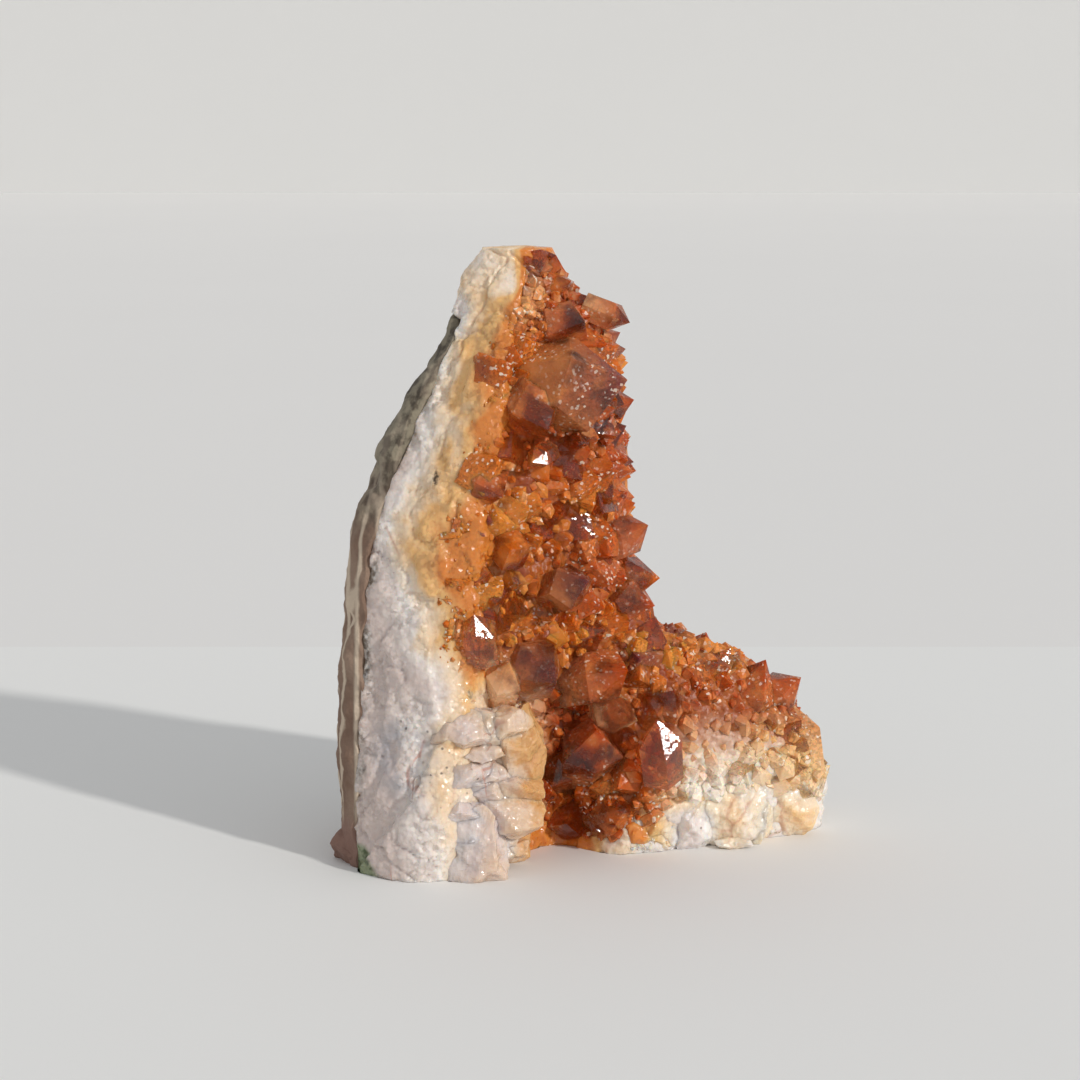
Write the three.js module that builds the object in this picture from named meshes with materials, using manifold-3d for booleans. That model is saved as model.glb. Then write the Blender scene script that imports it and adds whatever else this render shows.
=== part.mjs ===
// A free-standing fragment of a citrine geode: a wall of milky quartz that stands on its broken base,
// a basalt rind on its outside and a crust of citrine points on its inside.
// Millimetres, +Z up. The broken white face looks along -Y and the crystals look to +X and -Y.
import * as THREE from 'three';
import { ConvexGeometry } from 'three/addons/geometries/ConvexGeometry.js';
import { mergeVertices } from 'three/addons/utils/BufferGeometryUtils.js';
import Module from 'manifold-3d';

const wasm = await Module();
wasm.setup();

// Driving dimensions
const FRAME_SHIFT = [-1.82, -8.24]; // moves the middle of the specimen's box over the origin
const JOINT_GAP = 0.35; // between one layer and the next
const WALL_GRID = [40, 20]; // columns round the wall and rows up it
const LEDGE_WIDTH = 0.002; // of the step down to the rind, as a share of the way round or up

// The basalt rind is let into the outside of the wall, and stands a little proud of it.
const RIND = { grid: [15, 11], inset: 3, proud: 0.6, from: 0.7125, to: 1.0375, foot: 0, top: 0.825 };

// The citrine crust is let into the inside of the wall. Its edge follows the broken face: it starts
// further round below the climb where the front block stands.
const CRUST = {
  grid: [15, 12],
  inset: 2.2,
  proud: 0.7,
  bedFade: 0.05,
  faceEdge: 0.19,
  blockEdge: 0.235,
  blockTop: [0.33, 0.44],
  farEdge: 0.635,
  top: 0.965,
  foot: [0.14, 0.1, 0.065, 0.085, 0.16, 0.19, 0.2, 0.22],
  clearance: 0.6, // its lowest points end this far above the surface it stands over
};
const FILL_POINTS = 100;
const FILL_RADIUS = [2.8, 4.8];
const POINT_SLOPE = 1.1; // height of a point's pyramid over its radius

// A layer's sheets: how steeply its edge falls, and how deep its hidden side is sunk in the wall.
const EDGE_SHARE = 0.006;
const SUNK_DEPTH = 1.5;
const RIM_LIFT = 0.4;

// The wall is lofted through rails that climb it from below the cut to the top, in order round it.
const RAILS = {
  rind_edge: [
    [-42, -6, -6], [-43, -6.5, 4], [-43.5, -7, 14], [-43.5, -7, 26], [-43, -7, 38], [-42, -6.5, 50],
    [-39.5, -6, 65], [-31, -4.5, 82], [-23.5, -3, 97], [-20, -1.5, 107], [-16.5, -1, 112],
  ],
  face_left: [
    [-36, -16, -6], [-36.5, -17.5, 4], [-36, -17, 14], [-35, -15.5, 26], [-34.5, -14.5, 38], [-34, -14, 50],
    [-31.5, -13, 65], [-25.5, -10.5, 82], [-20, -8, 97], [-18, -5, 107], [-15, -3.5, 112],
  ],
  front_edge: [
    [-25, -20, -6], [-25.5, -22.5, 4], [-24, -22.5, 14], [-23, -20.5, 26], [-22.5, -19, 38], [-22, -18.5, 50],
    [-20.5, -17.5, 65], [-17, -15, 82], [-14, -11.5, 97], [-11, -7.5, 107], [-10.5, -5, 112],
  ],
  crystal_edge: [
    [-14, -8, -6], [-13, -9, 4], [-12, -10, 14], [-12, -10, 26], [-12, -12, 38], [-12, -13.5, 50],
    [-11, -14, 65], [-9, -13, 82], [-8, -10, 97], [-8, -6.5, 107], [-8, -4, 112],
  ],
  hollow: [
    [-4, 0, -6], [-3, 1, 4], [-2, 0, 14], [-1.5, -1, 26], [-2, -4, 38], [-2.5, -7.5, 50],
    [-2, -9, 65], [-1, -9, 82], [-2, -7.5, 97], [-5, -4.5, 107], [-6.5, -2.5, 112],
  ],
  foot_near: [
    [8, -5, -6], [9, -5.5, 4], [8.5, -6, 14], [8, -5, 26], [7, -2, 38], [6, -2, 50],
    [6, -2.5, 65], [6, -3, 82], [3.5, -3.5, 97], [-3, -2, 107], [-5.5, -1, 112],
  ],
  foot_middle: [
    [25, 1, -6], [25, 0.5, 4], [26, -1.5, 14], [25, 0, 26], [21, 4, 36], [13, 5, 46],
    [10.5, 4, 62], [9.5, 3, 80], [6.5, 1, 95], [-2, 1, 106], [-5, 0.5, 112],
  ],
  foot_far: [
    [45, 11, -6], [46, 11, 4], [45.5, 8, 14], [40, 9, 25], [29, 13, 34], [15, 13, 44],
    [11.5, 11, 60], [10, 9, 79], [6, 6, 94], [-2, 4, 105], [-5.5, 2, 112],
  ],
  foot_back: [
    [43, 26, -6], [44, 26, 4], [43, 24, 14], [38, 23, 24], [28, 23, 33], [16, 21, 43],
    [11, 19, 58], [9, 16, 77], [4, 11, 93], [-3, 7, 105], [-7, 3.5, 112],
  ],
  back_right: [
    [20, 37, -6], [21, 38, 4], [21, 37, 14], [19, 35, 24], [15, 33, 33], [8, 30, 45],
    [3, 26, 60], [0, 21, 78], [-3, 14.5, 94], [-7, 9, 105], [-9, 4.5, 112],
  ],
  back_middle: [
    [-12, 36, -6], [-12, 37, 4], [-13, 36, 14], [-14, 34, 26], [-16, 31, 38], [-17, 28, 50],
    [-17, 24, 65], [-15.5, 18.5, 82], [-13.5, 12.5, 97], [-12, 7.5, 107], [-11.5, 4, 112],
  ],
  back_left: [
    [-36, 16, -6], [-37, 16.5, 4], [-37.5, 16, 14], [-37.5, 15, 26], [-37, 13.5, 38], [-36, 12, 50],
    [-33, 10, 65], [-26, 8, 82], [-20, 6, 97], [-15.5, 3.5, 107], [-14, 1.5, 112],
  ],
};
const RAIL_NAMES = Object.keys(RAILS);

// The large crystals, placed one by one: where each tip is, which way it points and its radius.
const LARGE_POINTS = [
  { tip: [8.2, -12, 89.6], axis: [0.94, -0.31, 0.13], radius: 8 },
  { tip: [9.7, -3, 99.4], axis: [0.87, -0.15, -0.46], radius: 3.6 },
  { tip: [10.6, 4, 84.1], axis: [0.99, -0.1, 0.1], radius: 3 },
  { tip: [10.6, 4, 72.5], axis: [0.99, 0, -0.1], radius: 3.2 },
  { tip: [13.2, 0, 61.3], axis: [0.87, -0.32, 0.38], radius: 4.6 },
  { tip: [15.6, 3, 50.8], axis: [0.98, -0.21, 0.05], radius: 5 },
  { tip: [14.5, -1, 46.3], axis: [0.86, -0.5, -0.1], radius: 4.6 },
  { tip: [1.8, -15, 53.6], axis: [0.6, -0.72, 0.35], radius: 4.6 },
  { tip: [-19, -22, 50.4], axis: [0.15, -0.7, 0.7], radius: 3.8 },
  { tip: [-3.9, -16, 34.9], axis: [0.56, -0.81, -0.15], radius: 6.2 },
  { tip: [-13.4, -20, 39.8], axis: [0.1, -0.61, 0.79], radius: 4.4 },
  { tip: [14.6, -11, 27.2], axis: [0.05, -0.6, 0.8], radius: 5.5 },
  { tip: [3.6, -10, 24.9], axis: [0.1, -0.75, 0.65], radius: 6 },
  { tip: [24.7, 9, 39.3], axis: [0.31, -0.25, 0.92], radius: 4.6 },
  { tip: [34, 8, 33.7], axis: [0.35, -0.2, 0.91], radius: 6 },
  { tip: [41, 11, 29.6], axis: [0.78, -0.1, 0.62], radius: 4 },
  { tip: [18, -4, 31], axis: [0.2, -0.61, 0.76], radius: 3.6 },
  { tip: [9.3, -8, 35.7], axis: [0.72, -0.62, 0.31], radius: 6 },
  { tip: [8.2, -9, 28.1], axis: [0.31, -0.93, 0.21], radius: 4.4 },
  { tip: [-1.9, -4, 5.4], axis: [-0.1, -0.98, 0.16], radius: 4 },
  { tip: [-5.3, -7, 10.1], axis: [0.76, -0.51, 0.41], radius: 3.8 },
  { tip: [-3.4, -4, 18.1], axis: [0, -0.71, 0.71], radius: 3.5 },
  { tip: [-13, -22, 60.1], axis: [-0.1, -0.97, 0.2], radius: 4 },
  { tip: [-13.3, -19, 69.4], axis: [0.62, -0.72, -0.31], radius: 4.2 },
  { tip: [-4.6, -3, 112.2], axis: [0.3, -0.3, 0.9], radius: 4 },
  { tip: [1.2, -11, 99.7], axis: [0.61, -0.76, 0.2], radius: 5 },
  { tip: [-5.4, -19, 81.3], axis: [0.35, -0.85, -0.4], radius: 5.4 },
];

// Broken blocks of quartz that stand proud of the wall: the middle of each and its half sizes.
const BLOCKS = [
  { middle: [-21, -16.5, 9], half: [10, 8, 13] },
  { middle: [-15.5, -14, 23], half: [9, 7.5, 10.5] },
  { middle: [-31, -14, 6], half: [7, 7, 9] },
  { middle: [-27, -13, 46], half: [7, 4.6, 13] },
  { middle: [15, 0, 5], half: [8, 7, 7.5] },
  { middle: [28, 4, 6], half: [9, 6.5, 8] },
  { middle: [39, 12, 7], half: [8.5, 8, 9] },
];
const RIND_KNOB = { middle: [-40, -7.5, 2], half: [6, 6.5, 6.5] };
const BLOCK_CORNERS = 26;

// Catmull-Rom curves up each rail, then one closed curve round them at each height.
const railCurves = RAIL_NAMES.map(
  (name) => new THREE.CatmullRomCurve3(RAILS[name].map((p) => new THREE.Vector3(...p)), false, 'catmullrom'),
);
const rings = new Map();

function ringAt(climb) {
  const height = THREE.MathUtils.clamp(climb, 0, 1);
  if (!rings.has(height)) {
    const corners = railCurves.map((curve) => curve.getPoint(height));
    rings.set(height, new THREE.CatmullRomCurve3(corners, true, 'catmullrom'));
  }
  return rings.get(height);
}

function wallPoint(round, climb) {
  return ringAt(climb).getPoint(THREE.MathUtils.euclideanModulo(round, 1));
}

function wallNormal(round, climb) {
  const step = 0.004;
  const across = wallPoint(round + step, climb).sub(wallPoint(round - step, climb));
  const upward = wallPoint(round, Math.min(climb + step, 1)).sub(wallPoint(round, Math.max(climb - step, 0)));
  return across.cross(upward).normalize();
}

// The low swells and hollows of broken quartz: a slow wave and a quick one, worked out from the place.
function relief({ x, y, z }) {
  const slow = Math.sin(0.35 * x + 1.7 * Math.sin(0.11 * z)) * Math.sin(0.29 * z + 0.2 * y);
  const quick = Math.sin(0.8 * x - 0.6 * y + 0.5) * Math.sin(0.7 * z + 0.4 * x);
  return 0.8 * slow + 0.5 * quick;
}

function raised(round, climb, height) {
  const place = wallPoint(round, climb);
  return place.addScaledVector(wallNormal(round, climb), height + relief(place));
}

// A value between the entries of a list, at a share of its length.
function along(list, share) {
  const spot = THREE.MathUtils.clamp(share, 0, 1) * (list.length - 1);
  const low = Math.min(Math.floor(spot), list.length - 2);
  return THREE.MathUtils.lerp(list[low], list[low + 1], spot - low);
}

const crustStart = (climb) =>
  THREE.MathUtils.lerp(CRUST.blockEdge, CRUST.faceEdge, THREE.MathUtils.smoothstep(climb, ...CRUST.blockTop));

// Where a share of the crust's width and of its height lies on the wall.
function crustSpot(share, rise) {
  const climb = THREE.MathUtils.lerp(along(CRUST.foot, share), CRUST.top, rise);
  return [THREE.MathUtils.lerp(crustStart(climb), CRUST.farEdge, share), climb];
}

function rindSpot(share, rise) {
  return [THREE.MathUtils.lerp(RIND.from, RIND.to, share), THREE.MathUtils.lerp(RIND.foot, RIND.top, rise)];
}

// How far the wall is let in at a place: a ledge under the rind, and a shallow bed inside the crust's edge.
function wallInset(round, climb) {
  const rindTurn = round < 0.5 ? round + 1 : round;
  if (rindTurn > RIND.from && rindTurn < RIND.to && climb < RIND.top) return RIND.inset;
  const bed = (value, from, to) =>
    THREE.MathUtils.smoothstep(value, from, from + CRUST.bedFade) *
    (1 - THREE.MathUtils.smoothstep(value, to - CRUST.bedFade, to));
  const start = crustStart(climb);
  const foot = along(CRUST.foot, (round - start) / (CRUST.farEdge - start));
  return CRUST.inset * bed(round, start, CRUST.farEdge) * bed(climb, foot, CRUST.top);
}

// Solids
function solidOf(geometry) {
  const bare = new THREE.BufferGeometry();
  bare.setAttribute('position', (geometry.index ? geometry.toNonIndexed() : geometry).getAttribute('position'));
  const merged = mergeVertices(bare, 1e-3);
  const corners = [];
  const index = merged.index.array;
  for (let i = 0; i < index.length; i += 3) {
    const [a, b, c] = [index[i], index[i + 1], index[i + 2]];
    if (a !== b && b !== c && c !== a) corners.push(a, b, c);
  }
  const mesh = new wasm.Mesh({
    numProp: 3,
    vertProperties: merged.getAttribute('position').array,
    triVerts: new Uint32Array(corners),
  });
  return new wasm.Manifold(mesh);
}

function geometryOf(solid) {
  const { vertProperties, triVerts } = solid.getMesh();
  const geometry = new THREE.BufferGeometry();
  geometry.setAttribute('position', new THREE.BufferAttribute(vertProperties, 3));
  geometry.setIndex(new THREE.BufferAttribute(triVerts, 1));
  return geometry;
}

// A closed surface: a rectangle of columns and rows with each corner moved to where place puts it.
function surfaceSolid([columns, rows], place) {
  const sheet = new THREE.PlaneGeometry(1, 1, columns, rows);
  const spot = sheet.getAttribute('position');
  for (let i = 0; i < spot.count; i += 1) {
    const column = i % (columns + 1);
    const row = rows - Math.floor(i / (columns + 1));
    const point = place(column, row);
    spot.setXYZ(i, point.x, point.y, point.z);
  }
  return solidOf(sheet);
}

// Even steps from 0 to 1, with a close pair of lines added at each border.
function gridLines(count, borders) {
  const even = Array.from({ length: count + 1 }, (_, i) => i / count);
  const pairs = borders.flatMap((border) => [border - LEDGE_WIDTH, border + LEDGE_WIDTH]);
  return [...even, ...pairs].sort((a, b) => a - b);
}

// The whole wall as one closed surface, grown outwards by a height, with a middle point under it and on it.
function wallSolid(height) {
  const rounds = gridLines(WALL_GRID[0], [RIND.from, RIND.to - 1]);
  const climbs = gridLines(WALL_GRID[1], [RIND.top]);
  const top = railCurves.reduce((sum, curve) => sum.add(curve.getPoint(1)), new THREE.Vector3());
  top.divideScalar(railCurves.length);
  top.z += height;
  const bottom = new THREE.Vector3(0, 12, RAILS.hollow[0][2]);
  return surfaceSolid([rounds.length - 1, climbs.length + 1], (column, row) => {
    if (row === 0) return bottom;
    if (row === climbs.length + 1) return top;
    const [round, climb] = [rounds[column], climbs[row - 1]];
    return raised(round, climb, height - wallInset(round, climb));
  });
}

// A layer that lies on the wall: its outer sheet, and an inner sheet sunk in the wall, to be cut off there.
function layerSolid({ grid: [columns, rows], inset, proud }, spotAt) {
  const share = (step, steps) => {
    if (step === 0 || step === steps) return step / steps;
    return THREE.MathUtils.lerp(EDGE_SHARE, 1 - EDGE_SHARE, (step - 1) / (steps - 2));
  };
  const sunk = -inset - SUNK_DEPTH;
  return surfaceSolid([columns * 2, rows], (column, row) => {
    const step = column <= columns ? column : 2 * columns - column;
    const onRim = step === 0 || step === columns || row === 0 || row === rows;
    const [round, climb] = spotAt(share(step, columns), share(row, rows));
    if (onRim) return raised(round, climb, sunk + RIM_LIFT);
    return raised(round, climb, column < columns ? proud : sunk);
  });
}

// A repeatable number from 0 to 1 for item and key.
function scatter(item, key) {
  const wave = Math.sin(item * 127.1 + key * 311.7) * 43758.5453;
  return wave - Math.floor(wave);
}

// A quartz point: a six-sided prism that starts at its root and ends in a pyramid at its tip.
function pointSolid(tip, axis, radius, reach, twist) {
  const side = new THREE.Vector3(axis.z, axis.x, axis.y).cross(axis).normalize();
  const other = axis.clone().cross(side);
  const corners = [tip.clone()];
  for (let i = 0; i < 6; i += 1) {
    const angle = twist + (i * Math.PI) / 3;
    const spoke = side.clone().multiplyScalar(Math.cos(angle) * radius);
    spoke.addScaledVector(other, Math.sin(angle) * radius);
    const shoulder = POINT_SLOPE * radius * (i % 2 ? 1.16 : 0.84);
    corners.push(tip.clone().add(spoke).addScaledVector(axis, -shoulder));
    corners.push(tip.clone().add(spoke).addScaledVector(axis, -reach));
  }
  return solidOf(new ConvexGeometry(corners));
}

// A broken block: the hull of corners spread evenly over an ellipsoid, each pulled in a little or left.
function blockSolid({ middle, half }, item, growth) {
  const corners = [];
  for (let i = 0; i < BLOCK_CORNERS; i += 1) {
    const height = 1 - (2 * (i + 0.5)) / BLOCK_CORNERS;
    const turn = i * Math.PI * (3 - Math.sqrt(5));
    const width = Math.sqrt(1 - height * height);
    const pull = 0.82 + 0.18 * scatter(i, item + 50);
    const spread = [width * Math.cos(turn), width * Math.sin(turn), height];
    corners.push(new THREE.Vector3(...middle.map((m, k) => m + pull * (half[k] + growth) * spread[k])));
  }
  return solidOf(new ConvexGeometry(corners));
}

const blocks = (growth) => BLOCKS.map((block, item) => blockSolid(block, item, growth));
const floor = (height) => solidOf(new THREE.BoxGeometry(300, 300, 40).translate(0, 0, height - 20));
const wall = wasm.Manifold.union([wallSolid(0), ...blocks(0)]).subtract(floor(0));
const grownWall = wasm.Manifold.union([wallSolid(JOINT_GAP), ...blocks(JOINT_GAP * 1.3)]);

const rind = layerSolid(RIND, rindSpot)
  .add(blockSolid(RIND_KNOB, 3, 0))
  .subtract(grownWall)
  .subtract(floor(0));

const points = LARGE_POINTS.map(({ tip, axis, radius }, item) => {
  const direction = new THREE.Vector3(...axis).normalize();
  return pointSolid(new THREE.Vector3(...tip), direction, radius, 2.6 * radius + 4, scatter(item, 9) * Math.PI);
});
for (let i = 0; i < FILL_POINTS; i += 1) {
  const share = 0.02 + 0.96 * ((0.5 + i * 0.7548776662) % 1);
  const rise = 0.03 + 0.95 * ((0.5 + i * 0.569840291) % 1);
  const [round, climb] = crustSpot(share, rise);
  const radius = THREE.MathUtils.lerp(...FILL_RADIUS, scatter(i, 1));
  const tip = raised(round, climb, 0.5 + radius);
  const crowded = LARGE_POINTS.some((large) => tip.distanceTo(new THREE.Vector3(...large.tip)) < large.radius);
  if (crowded) continue;
  const lean = new THREE.Vector3(scatter(i, 2) - 0.5, scatter(i, 3) - 0.5, scatter(i, 4) - 0.4);
  const axis = wallNormal(round, climb).addScaledVector(lean, 0.8).normalize();
  points.push(pointSolid(tip, axis, radius, 2.5 * radius + 3, scatter(i, 5) * Math.PI));
}
const crust = wasm.Manifold.union([layerSolid(CRUST, crustSpot), ...points])
  .subtract(grownWall)
  .subtract(floor(CRUST.clearance));

const finishes = {
  milky_quartz: new THREE.MeshStandardMaterial({ color: 0xe6dcd2, roughness: 0.45, metalness: 0 }),
  basalt: new THREE.MeshStandardMaterial({ color: 0x6f5a4a, roughness: 0.9, metalness: 0 }),
  citrine: new THREE.MeshStandardMaterial({ color: 0xa8521c, roughness: 0.15, metalness: 0 }),
};

const specimen = new THREE.Group();
function addPiece(name, solid, finish) {
  const piece = new THREE.Mesh(geometryOf(solid), finish);
  piece.name = name;
  piece.position.set(FRAME_SHIFT[0], FRAME_SHIFT[1], 0);
  specimen.add(piece);
}
addPiece('milky_quartz_wall', wall, finishes.milky_quartz);
addPiece('basalt_rind', rind, finishes.basalt);
addPiece('citrine_crust', crust, finishes.citrine);

export default specimen;
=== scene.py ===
# %% [markdown]
# # A citrine geode fragment
# The specimen is a broken piece of a geode's lining. A wall of milky quartz stands on its broken base, a
# thin rind of basalt covers its outside, and a crust of orange citrine points covers its inside.
# This script dresses the measured solids of that specimen: it builds the fine surfaces and the finishes,
# and it leaves every size and place as the frame has them.

import math

import bmesh
import bpy
import numpy as np
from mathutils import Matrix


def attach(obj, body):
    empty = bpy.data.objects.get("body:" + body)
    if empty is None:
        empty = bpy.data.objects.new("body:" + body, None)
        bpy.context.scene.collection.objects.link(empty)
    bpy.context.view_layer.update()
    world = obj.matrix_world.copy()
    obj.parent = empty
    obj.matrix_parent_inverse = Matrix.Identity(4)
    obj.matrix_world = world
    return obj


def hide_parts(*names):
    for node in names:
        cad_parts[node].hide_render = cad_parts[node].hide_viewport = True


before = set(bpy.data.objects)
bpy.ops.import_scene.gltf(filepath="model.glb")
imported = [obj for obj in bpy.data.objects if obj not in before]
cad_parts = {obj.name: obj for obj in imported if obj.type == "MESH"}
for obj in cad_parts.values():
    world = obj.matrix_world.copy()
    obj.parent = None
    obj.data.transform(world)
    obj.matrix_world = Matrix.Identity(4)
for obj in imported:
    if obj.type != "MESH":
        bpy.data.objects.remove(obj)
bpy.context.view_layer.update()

# %% [markdown]
# ## The camera
# The photograph looks slightly down on the specimen from about half a metre, through a lens of 85 mm. The
# camera comes first, so that each later step can be judged in the same view. All shapes below are written in
# millimetres, in the frame in which the photograph was measured, and moved by the frame's own shift.

# %% Sizes and places of the view
MM = 0.001
FRAME_SHIFT = np.array([-1.82, -8.24, 0.0])
CAMERA_PLACE = np.array([-6.8, -464.9, 136.3])
CAMERA_PITCH = 9.5  # degrees below level
LENS = 85.0
SENSOR = 36.0


def in_metres(points):
    """The same points moved by the frame's shift and turned from millimetres into metres."""
    return (np.asarray(points, float) + FRAME_SHIFT) * MM


camera_data = bpy.data.cameras.new("camera")
camera_data.lens = LENS
camera_data.sensor_width = SENSOR
camera_data.clip_start = 0.01
camera_data.clip_end = 20
camera = bpy.data.objects.new("camera", camera_data)
camera.location = in_metres(CAMERA_PLACE)
camera.rotation_euler = (math.radians(90 - CAMERA_PITCH), 0, 0)
bpy.context.scene.collection.objects.link(camera)
bpy.context.scene.camera = camera
print("camera at", [round(v, 4) for v in camera.location])

# %% [markdown]
# ## Helpers for surfaces
# Broken rock is never smooth, so most surfaces here need noise. Blender has a noise texture for shaders, but
# a shape needs noise as numbers. A lattice of hashed values, blended smoothly between its corners, gives the
# same answer on every run and takes whole arrays at once.


# %% Noise and small vector helpers
def hashed(cells, seed):
    """A repeatable value from 0 to 1 for each whole-number cell: the fraction of a large sine."""
    phase = cells @ np.array([12.9898, 78.233, 37.719]) + seed * 19.19
    return np.modf(np.abs(np.sin(phase) * 43758.5453))[0]


def noise(points, size, seed=0):
    """Smooth noise from -1 to 1: the eight hashed corners of each cell of that size, blended by 3t2 - 2t3."""
    spot = np.asarray(points, float) / size
    cell = np.floor(spot)
    part = spot - cell
    blend = part * part * (3 - 2 * part)
    total = np.zeros(len(spot))
    for corner in np.ndindex(2, 2, 2):
        weight = np.prod(np.where(corner, blend, 1 - blend), axis=1)
        total += weight * hashed(cell + corner, seed)
    return 2 * total - 1


def rough(points, size, octaves, seed=0):
    """Noise added to itself at half the size and half the height, once for each octave."""
    return sum(noise(points, size / 2**i, seed + i) / 2**i for i in range(octaves))


def unit(vectors):
    """Each vector divided by its own length."""
    return vectors / np.maximum(np.linalg.norm(vectors, axis=-1, keepdims=True), 1e-12)


def smooth(low, high, values):
    """0 below low, 1 above high, and 3t2 - 2t3 between them."""
    t = np.clip((np.asarray(values, float) - low) / (high - low), 0, 1)
    return t * t * (3 - 2 * t)


def spread(count, step, start=0.5):
    """Numbers from 0 to 1 that fill the range evenly: each is a fixed step past the last, wrapped round."""
    return (start + np.arange(count) * step) % 1


def chance(count, seed):
    """One repeatable value from 0 to 1 for each item."""
    return hashed(np.stack([np.arange(count), np.zeros(count), np.zeros(count)], axis=1), seed)


# %% Put arrays into a mesh
def make_piece(name, points, faces, attributes=None):
    """A mesh object at the origin, from points in millimetres, lists of corner numbers and attributes."""
    mesh = bpy.data.meshes.new(name)
    mesh.from_pydata(in_metres(points), [], faces)
    mesh.validate()
    for key, values in (attributes or {}).items():
        values = np.asarray(values, np.float32)
        kind = "FLOAT" if values.ndim == 1 else "FLOAT_COLOR"
        layer = mesh.attributes.new(key, kind, "POINT")
        if kind == "FLOAT":
            layer.data.foreach_set("value", values)
        else:
            layer.data.foreach_set("color", np.hstack([values, np.ones((len(values), 1))]).ravel())
    piece = bpy.data.objects.new(name, mesh)
    bpy.context.scene.collection.objects.link(piece)
    print(f"{name}: {len(points)} points, {len(faces)} faces")
    return piece


def grid_faces(rows, columns, start=0):
    """Quads between neighbours of a grid of points stored row by row, facing right-hand of row x column."""
    row, column = np.meshgrid(np.arange(rows - 1), np.arange(columns - 1), indexing="ij")
    a = (row * columns + column).ravel() + start
    return np.stack([a, a + 1, a + columns + 1, a + columns], axis=1)


# %% [markdown]
# ## The form of the wall
# The wall leans in as it rises and ends in a narrow top, and it runs out into a low foot on the right. No
# simple solid has that form. A sculpted mesh would do, but it couldn't be measured again. So it is a loft:
# twelve rails climb the wall, and a closed curve goes round them at every height. Each rail is eleven points.

# %% The rails
RAILS = {
    "rind_edge": [
        [-42, -6, -6], [-43, -6.5, 4], [-43.5, -7, 14], [-43.5, -7, 26], [-43, -7, 38], [-42, -6.5, 50],
        [-39.5, -6, 65], [-31, -4.5, 82], [-23.5, -3, 97], [-20, -1.5, 107], [-16.5, -1, 112],
    ],
    "face_left": [
        [-36, -16, -6], [-36.5, -17.5, 4], [-36, -17, 14], [-35, -15.5, 26], [-34.5, -14.5, 38],
        [-34, -14, 50], [-31.5, -13, 65], [-25.5, -10.5, 82], [-20, -8, 97], [-18, -5, 107], [-15, -3.5, 112],
    ],
    "front_edge": [
        [-25, -20, -6], [-25.5, -22.5, 4], [-24, -22.5, 14], [-23, -20.5, 26], [-22.5, -19, 38],
        [-22, -18.5, 50], [-20.5, -17.5, 65], [-17, -15, 82], [-14, -11.5, 97], [-11, -7.5, 107],
        [-10.5, -5, 112],
    ],
    "crystal_edge": [
        [-14, -8, -6], [-13, -9, 4], [-12, -10, 14], [-12, -10, 26], [-12, -12, 38], [-12, -13.5, 50],
        [-11, -14, 65], [-9, -13, 82], [-8, -10, 97], [-8, -6.5, 107], [-8, -4, 112],
    ],
    "hollow": [
        [-4, 0, -6], [-3, 1, 4], [-2, 0, 14], [-1.5, -1, 26], [-2, -4, 38], [-2.5, -7.5, 50],
        [-2, -9, 65], [-1, -9, 82], [-2, -7.5, 97], [-5, -4.5, 107], [-6.5, -2.5, 112],
    ],
    "foot_near": [
        [8, -5, -6], [9, -5.5, 4], [8.5, -6, 14], [8, -5, 26], [7, -2, 38], [6, -2, 50],
        [6, -2.5, 65], [6, -3, 82], [3.5, -3.5, 97], [-3, -2, 107], [-5.5, -1, 112],
    ],
    "foot_middle": [
        [25, 1, -6], [25, 0.5, 4], [26, -1.5, 14], [25, 0, 26], [21, 4, 36.5], [11, 5, 44.5],
        [9.5, 4, 62], [7.4, 3, 80], [6.5, 1, 95], [-2, 1, 106], [-5, 0.5, 112],
    ],
    "foot_far": [
        [45, 11, -6], [46, 11, 4], [45.5, 8, 14], [40, 9, 25], [30, 12, 34.5], [11.8, 13, 43],
        [10.3, 11, 60], [7.8, 9, 79], [6, 6, 94], [-2, 4, 105], [-5.5, 2, 112],
    ],
    "foot_back": [
        [43, 26, -6], [44, 26, 4], [43, 24, 14], [38, 23, 24], [28, 22.5, 31.5], [12.5, 20, 40],
        [10.5, 19, 58], [7.5, 16, 77], [4, 11, 93], [-3, 7, 105], [-7, 3.5, 112],
    ],
    "back_right": [
        [20, 37, -6], [21, 38, 4], [21, 37, 14], [19, 35, 24], [15, 33, 33], [8, 30, 45],
        [3, 26, 60], [0, 21, 78], [-3, 14.5, 94], [-7, 9, 105], [-9, 4.5, 112],
    ],
    "back_middle": [
        [-12, 36, -6], [-12, 37, 4], [-13, 36, 14], [-14, 34, 26], [-16, 31, 38], [-17, 28, 50],
        [-17, 24, 65], [-15.5, 18.5, 82], [-13.5, 12.5, 97], [-12, 7.5, 107], [-11.5, 4, 112],
    ],
    "back_left": [
        [-36, 16, -6], [-37, 16.5, 4], [-37.5, 16, 14], [-37.5, 15, 26], [-37, 13.5, 38], [-36, 12, 50],
        [-33, 10, 65], [-26, 8, 82], [-20, 6, 97], [-15.5, 3.5, 107], [-14, 1.5, 112],
    ],
}
rails = np.array(list(RAILS.values()), float)
print("rails:", rails.shape[0], "of", rails.shape[1], "points, height", rails[..., 2].max(), "mm")


# %% The loft through the rails
def between(before, start, end, after, t):
    """The cubic from start to end whose slope at each is half the span between its two neighbours."""
    t = t[:, None]
    bend = 2 * before - 5 * start + 4 * end - after
    return start + 0.5 * t * ((end - before) + t * (bend + t * (3 * (start - end) + after - before)))


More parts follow.
